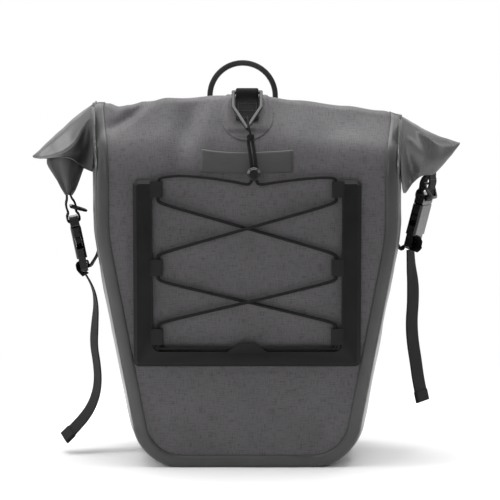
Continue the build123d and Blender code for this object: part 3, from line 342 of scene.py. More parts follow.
def moulded_plastic(name, level, roughness, edge_highlight=0.35):
    """Textured injection moulding, with a painted highlight that lightens its sharp edges."""
    made = Finish(name, grey(level, -0.01), roughness, Specular_IOR_Level=0.09)
    spark_grain = made.grain(made.place((2200, 2200, 2200)), 1.0, 2.0)
    cloud = made.grain(made.place((45, 45, 45)), 1.0, 4.0)
    skin = made.ramp(cloud, 0.3, 0.7, grey(level * 0.85, -0.01), grey(level * 1.15, -0.01))
    # Painted highlight: sharp edges, found by pointiness, are lightened toward three times the base
    # level.
    edge = made.node("NewGeometry").outputs["Pointiness"]
    made.colour(made.blend(made.remap(edge, 0.52, 0.60, 0.0, edge_highlight), skin, grey(level * 3.0)))
    made.roughness(made.remap(cloud, 0.3, 0.7, roughness - 0.04, roughness + 0.06))
    made.bump(spark_grain, 0.00015, 0.35)
    return made.material


def gloss_coat(name, level):
    made = Finish(name, grey(level), 0.2, Specular_IOR_Level=0.3, Coat_Weight=0.25,
                  Coat_Roughness=0.08)
    cloud = made.grain(made.place((120, 120, 120)), 1.0, 4.0)
    scuff = made.grain(made.place((700, 700, 160)), 1.0, 3.0)
    made.colour(made.ramp(cloud, 0.3, 0.7, grey(level * 0.8), grey(level * 1.4)))
    made.roughness(made.remap(scuff, 0.35, 0.75, 0.16, 0.36))
    made.bump(cloud, 0.0003, 0.15)
    return made.material


def woven_band(name, level):
    """Ribbed nylon webbing: ribs run along it and the weave crosses them."""
    made = Finish(name, grey(level), 0.7, Specular_IOR_Level=0.12, Sheen_Weight=0.02,
                  Sheen_Roughness=0.35)
    across = made.node("TexWave", {"Vector": made.place((1, 1, 1), cloth=True), "Scale": 190.0,
                                   "Distortion": 0.6, "Detail": 1.0},
                       bands_direction="X").outputs["Fac"]
    along = made.node("TexWave", {"Vector": made.place((1, 1, 1), cloth=True), "Scale": 310.0,
                                  "Distortion": 0.8, "Detail": 1.0},
                      bands_direction="Y").outputs["Fac"]
    weave = made.sum(across, along, 0.7)
    fuzz = made.grain(made.place((500, 500, 500)), 1.0, 3.0)
    tone = made.sum(weave, fuzz, 0.8)
    made.colour(made.ramp(tone, 0.5, 2.0, grey(level * 0.6), grey(level * 1.9)))
    made.bump(weave, 0.0003, 0.5)
    return made.material


def braided_sleeve():
    made = Finish("braided_sleeve", grey(0.007), 0.6, Specular_IOR_Level=0.15, Sheen_Weight=0.02,
                  Sheen_Roughness=0.3)
    fuzz = made.grain(made.place((1500, 1500, 1500)), 1.0, 3.0)
    strands = made.node("TexChecker", {"Vector": made.place((1, 1, 1), cloth=True, turn=45),
                                       "Scale": 1100.0}).outputs["Fac"]
    tone = made.sum(fuzz, strands, 0.5)
    made.colour(made.ramp(tone, 0.3, 1.0, grey(0.003), grey(0.013)))
    made.bump(fuzz, 0.0002, 0.4)
    return made.material


def thread_finish():
    made = Finish("sewing_thread", grey(0.03), 0.5)
    twist = made.grain(made.place((3000, 3000, 3000)), 1.0, 2.0)
    made.colour(made.ramp(twist, 0.3, 0.7, grey(0.02), grey(0.05)))
    return made.material


def bright_steel():
    made = Finish("bright_steel", grey(0.42), 0.3, Metallic=1.0)
    brushed = made.grain(made.place((300, 300, 2400)), 1.0, 3.0)
    made.roughness(made.remap(brushed, 0.3, 0.7, 0.22, 0.4))
    made.colour(made.ramp(brushed, 0.3, 0.7, grey(0.36), grey(0.5)))
    return made.material


def board_finish():
    made = Finish("board_sheet", grey(0.10), 0.6)
    cloud = made.grain(made.place((60, 60, 60)), 1.0, 3.0)
    made.colour(made.ramp(cloud, 0.3, 0.7, grey(0.08), grey(0.12)))
    made.bump(cloud, 0.0003, 0.2)
    return made.material


# ---------------------------------------------------------------- mesh tools
def turned_out(points, faces, inside):
    """The faces in the order that makes them look away from a point inside."""
    flux = 0.0
    for face in faces:
        corners = [Vector(points[k]) for k in face]
        normal = (corners[2] - corners[0]).cross(corners[-1] - corners[1])
        if len(face) == 3:
            normal = (corners[1] - corners[0]).cross(corners[2] - corners[0])
        flux += normal.dot(corners[0] - Vector(inside))
    return [tuple(reversed(face)) for face in faces] if flux < 0 else faces


def piece(name, points, faces, material, cloth_map=None, smooth=True, inside=(0, 0, 200)):
    """A mesh object at the origin from points in millimetres, with its cloth map if given."""
    faces = turned_out(points, faces, inside)
    mesh = bpy.data.meshes.new(name)
    mesh.from_pydata([(x * MM, y * MM, z * MM) for x, y, z in points], [], faces)
    if cloth_map is not None:
        layer = mesh.uv_layers.new(name="cloth")
        for loop in mesh.loops:
            u, v = cloth_map[loop.vertex_index]
            layer.data[loop.index].uv = (u * MM, v * MM)
    mesh.materials.append(material)
    mesh.polygons.foreach_set("use_smooth", [smooth] * len(mesh.polygons))
    mesh.update()
    obj = bpy.data.objects.new(name, mesh)
    bpy.context.collection.objects.link(obj)
    return obj


def grid_faces(rows, columns, close_rows=False, close_columns=False, start=0):
    """Four-sided faces over a grid of points stored row by row."""
    faces = []
    for i in range(rows if close_rows else rows - 1):
        for j in range(columns if close_columns else columns - 1):
            a = start + i * columns + j
            b = start + i * columns + (j + 1) % columns
            c = start + ((i + 1) % rows) * columns + (j + 1) % columns
            d = start + ((i + 1) % rows) * columns + j
            faces.append((a, b, c, d))
    return faces


def thicken(obj, thickness, offset=-1.0):
    wall = obj.modifiers.new("wall", "SOLIDIFY")
    wall.thickness = thickness * MM
    wall.offset = offset


def ease(value, low, high):
    """0 below low, 1 above high, and a smooth rise between them."""
    t = min(1.0, max(0.0, (value - low) / (high - low)))
    return t * t * (3 - 2 * t)


def soft_noise(x, y, z, size):
    return noise.noise(Vector((x / size, y / size, z / size)))


def along_table(table, x):
    """The smooth value of a table of (x, value) at x."""
    if x <= table[0][0]:
        return table[0][1]
    for (x0, v0), (x1, v1) in zip(table, table[1:]):
        if x <= x1:
            return v0 + (v1 - v0) * ease(x, x0, x1)
    return table[-1][1]


def rounded_run(points, radii, steps=8):
    """Points along straight runs with rounded corners, on a plane."""
    run = [Vector(points[0])]
    for before, corner, after, radius in zip(points, points[1:], points[2:], radii):
        a = (Vector(before) - Vector(corner)).normalized()
        b = (Vector(after) - Vector(corner)).normalized()
        half = math.acos(max(-1.0, min(1.0, a.dot(b)))) / 2
        cut = radius / math.tan(half)
        middle = Vector(corner) + (a + b).normalized() * (radius / math.sin(half))
        start, end = Vector(corner) + a * cut - middle, Vector(corner) + b * cut - middle
        for k in range(steps + 1):
            turned = start.lerp(end, k / steps)
            run.append(middle + turned.normalized() * radius)
    run.append(Vector(points[-1]))
    return run


def measured(run):
    """A run of points with the distance along it at each."""
    total, table = 0.0, [(0.0, run[0])]
    for a, b in zip(run, run[1:]):
        total += (b - a).length
        table.append((total, b))
    return table


def read_run(table, distance):
    """The point and direction at a distance along a measured run."""
    distance = min(max(distance, 0.0), table[-1][0])
    low, high = 0, len(table) - 1
    while high - low > 1:
        middle = (low + high) // 2
        if table[middle][0] <= distance:
            low = middle
        else:
            high = middle
    (s0, a), (s1, b) = table[low], table[high]
    share = (distance - s0) / max(s1 - s0, 1e-9)
    return a.lerp(b, share), (b - a).normalized()


# ---------------------------------------------------------------- the bag's surface
PROFILE = measured(rounded_run(
    [(-72, 0), (-72, 330), (-30, 388), (-8, 388), (-8, 340), (72, 325)], [80, 12, 6, 6], 12))


def run_to(test):
    """The first distance along the side profile where the point passes the test."""
    return next(s for s, p in PROFILE if test(p))


FOLD_V = run_to(lambda p: p.x >= FOLD_Y)
LENGTH_V = PROFILE[-1][0]


def make_rim():
    """The bag's edge from the bottom middle round to the top right, as (x, height)."""
    corner = BASE_HALF_WIDTH
    points = [(0, 0), (corner, 0), (FRONT_HALF_WIDTH, TAPER_TOP), (FRONT_HALF_WIDTH, FOLD_V)]
    return measured(rounded_run(points, [BASE_CORNER_R, SHOULDER_R], 24))


RIM = make_rim()
RIM_LENGTH = RIM[-1][0]


def rim_at(distance):
    """Edge point and outward direction; distance runs from the bottom middle, + to the right."""
    point, along = read_run(RIM, abs(distance))
    side = 1 if distance >= 0 else -1
    return Vector((side * point.x, point.y)), Vector((side * along.y, -along.x))


def edge_x(v):
    """Half the front's width at a height along the cloth."""
    if v >= TAPER_TOP + 20:
        return FRONT_HALF_WIDTH
    low, high = 0.0, RIM_LENGTH
    for _ in range(24):
        middle = (low + high) / 2
        if read_run(RIM, middle)[0].y < v:
            low = middle
        else:
            high = middle
    return read_run(RIM, high)[0].x


def bulge(y):
    """How far the sides swell at a depth."""
    return SIDE_BULGE * min(1.0, max(0.0, (BAG_HALF_DEPTH - abs(y)) / BULGE_RUN))


def front_relief(x, v):
    """How far the front cloth stands out at a place on it."""
    out = 0.0
    for cx, cv, wide, tall, turn, height in FRONT_RELIEF:
        c, s = math.cos(math.radians(turn)), math.sin(math.radians(turn))
        dx, dv = x - cx, v - cv
        a = (dx * c + dv * s) / wide
        b = (dv * c - dx * s) / tall
        out += height * math.exp(-0.5 * (a * a + b * b))
    raised = ease(SHIELD_HALF - abs(x) * (1.0 + 0.06 * ease(v, 372, 352)), 0, 2.4)
    out += 1.5 * raised * ease(v, SHIELD_LOW, SHIELD_LOW + 3.0)
    out += 0.9 * soft_noise(x, v, 3.0, 70) + 0.35 * soft_noise(x, v, 9.0, 26)
    framed = ease(abs(x), 128, 121) * ease(v, 100, 107) * ease(v, 318, 308)
    out = out * (1 - framed) + framed * (min(out, 0.0) * 0.8 - 0.45)
    return out


def top_shift(x, z):
    """The rise or sag of the top fold, fading down the bag."""
    return along_table(TOP_LINE, x) * ease(z, 318, 386)


def on_front(x, v, lift=0.0):
    """A point on the front cloth, lift off its face."""
    point, along = read_run(PROFILE, v)
    out = Vector((-along.y, along.x))
    edge = edge_x(min(v, FOLD_V)) - abs(x) if v > 40 else 20.0
    tuck = -1.6 * (1 - ease(edge, 0, 9)) if v < FOLD_V else 0.0
    d = lift + tuck + front_relief(x, v) * ease(edge, -2, 16)
    y, z = point.x + out.x * d, point.y + out.y * d
    return Vector((x, y, z + top_shift(x, z)))


# ---------------------------------------------------------------- the bag's cloth
def front_cloth(material):
    columns, rows = 150, 196
    points, places = [], []
    for i in range(rows):
        v = (FOLD_V + 4.0) * i / (rows - 1)
        y = read_run(PROFILE, v)[0].x
        half = edge_x(min(max(v, 0.05), FOLD_V)) + bulge(y) - 0.4
        for j in range(columns):
            x = half * (2 * j / (columns - 1) - 1)
            points.append(on_front(x, v))
            places.append((x, v))
    obj = piece("front_cloth", points, grid_faces(rows, columns), material, places)
    thicken(obj, CLOTH)
    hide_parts("front_panel")
    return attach(obj, "bag")


def collar_cloth(material):
    columns, rows = 90, 60
    points, places = [], []
    start = FOLD_V + COLLAR_FRONT_V
    for i in range(rows):
        v = start + (LENGTH_V - FOLD_V - COLLAR_FRONT_V) * i / (rows - 1)
        point, along = read_run(PROFILE, v)
        out = Vector((-along.y, along.x))
        half = FRONT_HALF_WIDTH + bulge(point.x) - 0.6
        deck = ease(point.x, -4, 20) * ease(point.x, 70, 55)
        for j in range(columns):
            x = half * (2 * j / (columns - 1) - 1)
            d = deck * (1.6 * soft_noise(x, v, 20.0, 60) - 1.0)
            y, z = point.x + out.x * d, point.y + out.y * d
            points.append((x, y, z + top_shift(x, z)))
            places.append((x, v))
    obj = piece("collar_cloth", points, grid_faces(rows, columns), material, places,
                inside=(0, 0, 250))
    thicken(obj, CLOTH)
    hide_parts("rear_collar")
    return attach(obj, "bag")


def back_cloth(material):
    columns, rows = 90, 90
    points, places = [], []
    for i in range(rows):
        z = BACK_TOP * i / (rows - 1)
        half = edge_x(max(z, 0.05))
        for j in range(columns):
            x = half * (2 * j / (columns - 1) - 1)
            edge = min(half - abs(x), BACK_TOP - z)
            d = -1.8 * (1 - ease(edge, 0, 9)) + 0.5 * soft_noise(x, 40.0, z, 60) - 0.6
            points.append((x, BAG_HALF_DEPTH + d, z))
            places.append((x, z))
    obj = piece("back_cloth", points, grid_faces(rows, columns), material, places)
    thicken(obj, CLOTH)
    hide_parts("back_panel")
    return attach(obj, "bag")


def height_limit(y):
    """The height of the cloth's top edge at a depth, at the sides."""
    return next((p.y for s, p in PROFILE if p.x >= y - 0.01), BACK_TOP)


def on_gusset(s, y, lift=0.0, top=1000.0):
    """A point on the gusset: s runs round the bag from the bottom middle, y is its depth."""
    p, out = rim_at(s)
    z = min(p.y, top)
    wave = 1.3 * soft_noise(p.x, y, z, 46) + 0.5 * soft_noise(p.x, y, z, 17)
    sag = -1.6 * ease(abs(y), 40, 0) * ease(z, 40, 110) * ease(z, 330, 280)
    d = bulge(y) + (wave + sag - 0.8) * ease(72 - abs(y), 2, 18) + lift
    x, z = p.x + out.x * d, z + out.y * d
    return Vector((x, y, max(0.05, z) + top_shift(x, z) * ease(y, -4, -12)))


def gusset_cloth(material):
    # Closely spaced where the top edge drops behind the fold.
    before_fold = [-70.5 + 2.9 * k for k in range(22)]
    behind_fold = [-5.0 + 3.15 * k for k in range(25)]
    depths = before_fold + [-8.2, -7.6] + behind_fold
    depths = sorted(set(d for d in depths if d < BAG_HALF_DEPTH - 0.4)) + [70.6]
    stations = 190
    points, places = [], []
    for y in depths:
        top = height_limit(y) - 0.5
        reach = RIM_LENGTH
        if top < FOLD_V:
            reach = next(s for s, p in RIM if p.y >= min(top, FOLD_V - 1))
        for k in range(stations):
            s = reach * (2 * k / (stations - 1) - 1)
            points.append(on_gusset(s, y, 0.0, top))
            places.append((s, y))
    obj = piece("gusset_cloth", points, grid_faces(len(depths), stations), material, places)
    thicken(obj, CLOTH)
    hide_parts("side_gusset")
    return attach(obj, "bag")


def seam_band(name, material, section, reach, replaced=None):
    """A band welded over the front edge: section holds (inset, depth behind the face)."""
    stations = 260
    points, places = [], []
    for k in range(stations):
        s = reach * (2 * k / (stations - 1) - 1)
        p, out = rim_at(s)
        for inset, back in section:
            v = p.y - out.y * inset
            y = read_run(PROFILE, max(0.0, v))[0].x
            x = p.x - out.x * inset + out.x * bulge(min(y, -BULGE_RUN) if inset > 0 else y)
            if v >= 0.0:
                place = on_front(x, v, -back)
            else:
                place = on_front(x, 0.0, -back) + Vector((0, 0, v))
            place.z = max(place.z, 0.75)
            points.append(place)
            places.append((inset, s))
    obj = piece(name, points, grid_faces(stations, len(section)), material, places)
    thicken(obj, 0.7, 1.0)
    if replaced:
        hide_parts(replaced)
    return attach(obj, "bag")


def rolled_top(material):
    """The top rolled round its slat: a flattened roll with the edge of its last turn showing."""
    around, stations = 44, 100
    y_mid, z_mid, deep, tall = 11.5, 364.5, 18.2, 20.6
    points, places = [], []
    for k in range(stations):
        x = -ROLL_HALF + 2 * ROLL_HALF * k / (stations - 1)
        for j in range(around):
            turn = 2 * math.pi * j / around
            step = 1.0 - 0.07 * (j / around)
            c, s = math.cos(turn), math.sin(turn)
            power = ROLL_SQUARENESS
            reach = (abs(c) ** power + abs(s) ** power) ** (-1 / power)
            ripple = 1 + 0.02 * soft_noise(x, 20 * c, 20 * s, 34)
            y = y_mid + deep * c * reach * step * ripple
            z = z_mid + tall * s * reach * step * ripple
            points.append((x, y, z + min(0.0, along_table(TOP_LINE, x)) * ease(z, 340, 384)))
            places.append((x, ROLL_GIRTH * j / around))
    faces = grid_faces(stations, around, close_columns=True)
    faces.append(tuple(range(around)))
    faces.append(tuple(range((stations - 1) * around, stations * around))[::-1])
    obj = piece("rolled_top", points, faces, material, places)
    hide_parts("roll_top")
    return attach(obj, "bag")


# ---------------------------------------------------------------- wings
LEFT_HOOD = {
    "rows": [
        # back lip, back face, crest behind, crest, crest in front, ridge, recess, lip
        [(-165.5, 34, 306), (-165.8, 35, 345),
         (-165.8, 31, 381), (-165.6, 6, 387), (-161.5, -24, 388.5),
         (-160.6, -36, 378), (-160.8, -56, 347), (-161.6, -64, 312)],
        [(-178.0, 33, 313), (-177.0, 34, 342),
         (-177.0, 29, 372), (-177.6, 5, 381), (-174.0, -20, 376.5),
         (-172.4, -34, 365), (-171.0, -14, 341), (-174.5, -14, 315.5)],
        [(-190.0, 31, 318), (-190.0, 31, 340),
         (-189.0, 24, 361), (-190.6, 4, 371), (-187.0, -17, 366),
         (-181.0, -33, 347.5), (-179.0, -6, 336), (-183.5, -14, 320.5)],
        [(-203.0, 27, 322), (-203.0, 27, 336),
         (-202.0, 20, 348), (-203.2, 4, 360.5), (-200.5, -14, 353),
         (-192.0, -27, 334.5), (-189.0, -12, 331.0), (-190.5, -17, 327.0)],
        [(-218.0, 19, 325), (-218.0, 19, 332),
         (-217.5, 14, 338), (-218.0, 4, 346.0), (-216.0, -8, 340),
         (-208.0, -17, 331), (-203.0, -16, 328.5), (-201.5, -16, 328.8)],
        [(-230.0, 9, 326), (-230.0, 9, 328.5),
         (-230.0, 7, 330), (-230.2, 5, 332.5), (-229.0, -1, 330),
         (-224.0, -6, 328), (-220.0, -7, 327), (-217.0, -7, 326.8)],
        [(-234.6, 6, 326.4), (-234.7, 5.6, 327),
         (-234.7, 5.2, 327.6), (-234.7, 5, 328), (-234.4, 4.2, 327.6),
         (-233.6, 3.6, 327), (-232.8, 3.4, 326.6), (-232.0, 3.4, 326.2)],
    ],
    # Painted shade: its share for the ridge, recess and lip columns of the top three rows.
    "painted_shade": {5: 0.35, 6: 1.0, 7: 0.9},
    "sharp": {4, 5, 7},
}

RIGHT_HOOD = {
    "rows": [
        [(165.5, 34, 296), (165.8, 35, 335), (165.8, 31, 367), (165.4, 6, 374), (160.5, -22, 374.5),
         (160.6, -40, 364), (161.4, -58, 330), (165.4, -48, 284)],
        [(177.0, 33, 300), (177.0, 34, 334), (177.0, 29, 358), (178.0, 5, 368), (172.5, -20, 366.5),
         (172.5, -34, 344), (171.0, -12, 320), (174.5, -14, 294)],
        [(188.0, 31, 304), (188.0, 31, 332), (189.0, 25, 352), (190.4, 4, 362), (183.5, -13, 357),
         (182.0, -32, 332), (178.0, -6, 316), (181.5, -14, 302)],
        [(199.0, 27, 308), (200.0, 27, 330), (201.0, 20, 347), (202.4, 4, 356.8), (197.0, -17, 347),
         (190.5, -16, 328), (188.0, -20, 314), (188.4, -12, 308)],
        [(209.0, 19, 314), (211.0, 20, 330), (213.0, 14, 342), (214.6, 4, 351.2), (210.0, -9, 340),
         (203.0, -18, 324), (199.0, -13, 313), (197.5, -12, 308.6)],
        [(220.0, 12, 328), (222.0, 12, 335), (223.5, 9, 342), (225.0, 5, 346.4), (221.5, -4, 338),
         (215.0, -9, 326), (210.0, -10, 316), (206.5, -8, 310.5)],
        [(231.4, 6.2, 341.0), (231.9, 6, 341.8),
         (232.3, 5.4, 342.6), (232.6, 5, 343.0), (232.0, 4, 342),
         (231.0, 3.4, 340.6), (230.2, 3.2, 339.6), (229.4, 3.2, 338.8)],
    ],
    # Painted shade: its share for the recess column of the top three rows.
    "painted_shade": {6: 0.25},
    "sharp": {4, 7},
}

# The gathered cloth under each hood, down to its strap: rings of (x, y, z).
LEFT_GATHER = [
    [(-219, 5, 329), (-211, -8, 333), (-201, -11, 336), (-189, -9, 337), (-179, -4, 332),
     (-177, 8, 330), (-181, 22, 331), (-193, 25, 334), (-206, 21, 334), (-216, 13, 331)],
    [(-222, 4, 320), (-214, -8, 322), (-203, -14, 324), (-190, -14, 321), (-180, -7, 317),
     (-178, 8, 316), (-182, 24, 317), (-194, 27, 321), (-208, 24, 322), (-218, 14, 321)],
    [(-212.5, 4, 307), (-207, -9, 307), (-201, -6, 307), (-193, -13, 306), (-186, -8, 304),
     (-184, 8, 303), (-187, 23, 304), (-196, 20, 306), (-204, 24, 307), (-210, 14, 307)],
    [(-204.5, 4, 295), (-202, -9, 294), (-198, -5, 294), (-193, -11, 293), (-189, -8, 292),
     (-188, 7, 292), (-189.5, 21, 292), (-195, 18, 293), (-200, 21, 294), (-203.5, 13, 295)],
    [(-199.5, 5, 286.4), (-198.5, -8, 286.2),
     (-196.5, -8.5, 286.2), (-194.5, -8.5, 286.2), (-192.8, -8, 286.2),
     (-192.2, 5, 286.2), (-192.8, 17.5, 286.2),
     (-194.5, 18, 286.2), (-196.5, 18, 286.2), (-198.5, 17.5, 286.2)],
]
RIGHT_GATHER = [
    [(212, 4, 322), (208, -8, 324), (200, -12, 324), (190, -12, 322), (183, -6, 318),
     (182, 8, 316), (185, 22, 318), (194, 25, 321), (203, 23, 323), (209, 14, 323)],
    [(206.5, 4, 315), (204, -8, 316), (198, -8, 316), (191, -11, 315), (186, -7, 313),
     (185, 8, 312), (187, 21, 313), (194, 22, 315), (200, 21, 316), (204.5, 13, 316)],
    [(201.5, 5, 308.8), (200.5, -9, 309.6), (197.5, -9, 309.8), (194, -9, 309.8), (191, -9, 309.8),
     (190, 5, 309.8), (191, 19.5, 309.8),
     (194, 20, 309.8), (197.5, 20, 309.8), (200.5, 19.5, 309.6)],
]


def wing_cloth(name, hood, gather, material, replaced):
    """A folded end of the roll: a creased hood, and the gathered cloth that its strap pulls."""
    rows = hood["rows"]
    columns = len(rows[0])
    points = [p for row in rows for p in row]
    middle = (190 if points[0][0] > 0 else -190, 8, 330)
    faces = turned_out(points, grid_faces(len(rows), columns), middle)
    base = len(points)
    around = len(gather[0])
    points += [p for ring in gather for p in ring]
    cone = grid_faces(len(gather), around, close_columns=True, start=base)
    cone = turned_out(points, cone, (points[base][0] * 0.94, 8, 305))
    obj = piece(name, points, faces + cone, material, inside=middle)
    mesh = obj.data
    crease = mesh.attributes.new("crease_edge", "FLOAT", "EDGE")
    for edge in mesh.edges:
        a, b = edge.vertices
        same_column = a < base and b < base and a % columns == b % columns
        sharp = same_column and a % columns in hood["sharp"]
        crease.data[edge.index].value = 0.95 if sharp else 0.12
    # Painted shade: the hood's listed columns, and every other point of the gathered cloth strongly
    # with the rest lightly, are marked darker for the coating's material.
    painted_shade = mesh.attributes.new("painted_recess_shade", "FLOAT", "POINT")
    for index in range(base):
        row, column = divmod(index, columns)
        painted_shade.data[index].value = hood["painted_shade"].get(column, 0.0) if row < 3 else 0.0
    for index in range(base, len(points)):
        painted_shade.data[index].value = 0.85 if index % 2 else 0.35
    finer = obj.modifiers.new("finer", "SUBSURF")
    finer.levels = finer.render_levels = 3
    graph = bpy.context.evaluated_depsgraph_get()
    fine = bpy.data.meshes.new_from_object(obj.evaluated_get(graph))
    obj.modifiers.clear()
    obj.data = fine
    for vertex in fine.vertices:
        x, y, z = (c / MM for c in vertex.co)
        away = ease(abs(x), 166, 176)
        pull = Vector((0.5 * soft_noise(x, y, z, 9), 1.1 * soft_noise(z, x, y, 16),
                       0.9 * soft_noise(y, z, x, 14)))
        vertex.co += pull * away * MM
    thicken(obj, 1.2, 0.0)
    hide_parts(replaced)
    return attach(obj, "bag")


# ---------------------------------------------------------------- patch, label, hook tab
def lift_disc(name, cx, cv, reach, material, replaced, thickness, lift=0.15):
    """A thin welded round patch on the front cloth."""
    rings, around = 18, 72
    points, places = [on_front(cx, cv, lift)], [(cx, cv)]
    for i in range(1, rings + 1):
        r = reach * i / rings
        for j in range(around):
            turn = 2 * math.pi * j / around
            x, v = cx + r * math.cos(turn), cv + r * math.sin(turn)
            weld = 0.35 * math.exp(-(((reach - 2.2 - r) / 0.9) ** 2))
            points.append(on_front(x, v, lift - weld))
            places.append((x, v))
    faces = [(0, 1 + j, 1 + (j + 1) % around) for j in range(around)]
    faces += grid_faces(rings, around, close_columns=True, start=1)
    obj = piece(name, points, faces, material, places)
    thicken(obj, thickness, 1.0)
    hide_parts(replaced)
    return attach(obj, "bag")


def face_label(material):
    """The blank rubber label, sagging a little between its ends."""
    columns, rows = 70, 20
    half, low, high = 48.5, 313.5, 337.5
    points, places = [], []
    for i in range(rows):
        for j in range(columns):
            across, up = 2 * j / (columns - 1) - 1, i / (rows - 1)
            rounding = 1.2 * max(0.0, abs(across) - 0.97) / 0.03
            sag = (1.0 + 2.2 * up) * (1 - across ** 2)
            v = low + (high - low) * up + (0.5 - up) * 2 * rounding - sag
            edge = min(1 - abs(across), 2 * min(up, 1 - up))
            points.append(on_front(half * across, v, 0.3 + 0.7 * ease(edge, 0.0, 0.05)))
            places.append((half * across, v))
    obj = piece("face_label", points, grid_faces(rows, columns), material, places)
    thicken(obj, 1.2, -1.0)
    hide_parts("rubber_label")
    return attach(obj, "bag")


# ---------------------------------------------------------------- cords and webbing
LEFT_TAIL = [(-178.0, 5.0, 198.0), (-170.5, 6.1, 186.0), (-166.8, 6.6, 166.0), (-168.6, 6.3, 143.0),
             (-170.2, 6.1, 120.0), (-166.6, 6.6, 98.0), (-165.6, 6.7, 76.0), (-170.8, 6.0, 55.0),
             (-182.6, 4.4, 36.0), (-199.0, 2.0, 20.0)]
RIGHT_TAIL = [(179.6, 5.0, 226.0), (180.2, 4.7, 209.0), (182.6, 3.7, 190.0), (182.9, 3.5, 168.0),
              (181.4, 4.2, 146.0), (182.8, 3.6, 124.0), (186.4, 2.0, 102.0), (189.0, 0.8, 82.0),
              (192.8, -0.9, 64.0)]


def smooth_line(route, name="route"):
    """Points of the smooth curve that a route's points steer, in millimetres."""
    curve = bpy.data.curves.new(name, "CURVE")
    curve.dimensions = "3D"
    spline = curve.splines.new("NURBS")
    spline.points.add(len(route) - 1)
    for point, place in zip(spline.points, route):
        point.co = (*(c * MM for c in place), 1.0)
    spline.order_u = 3
    spline.use_endpoint_u = True
    spline.resolution_u = 24
    carrier = bpy.data.objects.new(name, curve)
    bpy.context.collection.objects.link(carrier)
    graph = bpy.context.evaluated_depsgraph_get()
    line = bpy.data.meshes.new_from_object(carrier.evaluated_get(graph))
    points = [v.co / MM for v in line.vertices]
    bpy.data.objects.remove(carrier)
    return points


def even_steps(points, step):
    table = measured(points)
    count = max(2, round(table[-1][0] / step))
    return [read_run(table, table[-1][0] * k / count) for k in range(count + 1)]


def band_section(width, thick, count=15):
    """A webbing section as (across, out): flat faces with rounded selvedges."""
    half, edge = width / 2, thick / 2
    top = [(half * (2 * k / (count - 1) - 1), edge) for k in range(count)]
    for index in (0, count - 1):
        top[index] = (top[index][0], 0.0)
    under = [(a, -edge) for a, _ in reversed(top[1:-1])]
    return top + under


def webbing_strip(name, line, width, thick, twist, material, ribs=0.07, level=(0, 1, 0)):
    """Webbing along (point, direction) pairs; twist gives its turn in degrees at a share of it."""
    section = band_section(width, thick)
    points, places = [], []
    total = len(line) - 1
    for k, (centre, along) in enumerate(line):
        share = k / total
        across = Vector(level)
        across = (across - along * along.dot(across)).normalized()
        out = along.cross(across).normalized()
        turn = math.radians(twist(share))
        side = across * math.cos(turn) + out * math.sin(turn)
        face = along.cross(side).normalized()
        rib = ribs * (1 if k % 2 else -1)
        for a, o in section:
            sign = 1 if o > 0 else -1 if o < 0 else 0
            points.append(centre + side * a + face * (o + sign * rib))
            places.append((a if o >= 0 else -a, k * 1.0))
    faces = grid_faces(len(line), len(section), close_columns=True)
    faces.append(tuple(range(len(section)))[::-1])
    faces.append(tuple(range(total * len(section), (total + 1) * len(section))))
    return piece(name, points, faces, material, places)


def strap_tail(side, route, twist, material):
    raw = smooth_line(route)
    line = even_steps(raw, BAND_STEP)
    if raw[0].z < raw[-1].z:
        line = line[::-1]
    obj = webbing_strip(f"{side}_tail_webbing", line, BAND_WIDTH, BAND_THICK, twist, material)
    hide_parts(f"{side}_strap_tail")
    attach(obj, "bag")
    hem = tail_hem(side, line, twist, material)
    return obj


def tail_hem(side, line, twist, material):
    """The folded and stitched end of a strap's tail."""
    end, along = line[-1]
    start = end - along * (HEM_FOLD / 2)
    steps = 12
    run = [(start + along * (HEM_FOLD * k / steps), along) for k in range(steps + 1)]
    obj = webbing_strip(f"{side}_tail_hem_fold", run, 25.3, HEM_THICK, lambda share: twist(1.0),
                        material, 0.09)
    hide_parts(f"{side}_tail_hem")
    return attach(obj, "bag")


def steady(share):
    """The twist of a strap that has none."""
    return 0.0


def hook_strip(material, tree, thread):
    """The strip welded under the fold, doubled round the hook ring's bar and sewn down."""
    start = next(v for v in range(340, 420) if read_run(PROFILE, v)[0].y >= 361.0)
    surface = [on_front(0.0, start + k * 3.0, 2.0) for k in range(12)]
    ring_y, ring_z, ring_r = -35.0, 397.4, 3.9
    front = [p for p in surface if p.z < 387 and p.y < -36.5]
    turns = [math.radians(a) for a in (-175, -140, -100, -60, -20, 20, 55)]
    loop = [(0.0, ring_y + ring_r * math.sin(a), ring_z + ring_r * math.cos(a)) for a in turns]
    route = [tuple(p) for p in front] + [(0.0, -37.4, 390.5)] + loop[1:]
    route += [(0.0, -33.0, 390.0), (0, -32.0, 385.5)]
    line = even_steps(smooth_line(route), BAND_STEP)
    obj = webbing_strip("hook_strip_webbing", line, HOOK_STRIP_WIDTH, 1.7, steady, material,
                        level=(1, 0, 0))
    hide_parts("hook_tab")
    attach(obj, "bag")
    flat = [p for p, _ in line if p.z < 386 and p.y < -38]
    rows = [[(x, p.y - 1.0, p.z + 0.55) for p in flat[2:]] for x in (-9.6, 9.6)]
    for k in (3, len(flat) // 2, len(flat) - 2):
        rows.append([(x, flat[k].y - 1.0, flat[k].z + 0.55) for x in range(-9, 10, 2)])
    stitch_rows("hook_strip_stitches", rows, tree, thread)


def buckle_place(sign, top, bottom, turn):
    """The buckle's own frame: -Z runs down its strap and Y is its width."""
    lean = math.atan((top[0] - bottom[0]) / (top[2] - bottom[1]))
    move = Matrix.Translation((sign * top[0], top[1], top[2]))
    facing = Matrix.Rotation(math.radians(-sign * turn), 4, "Z")
    return move @ facing @ Matrix.Rotation(sign * lean, 4, "Y")


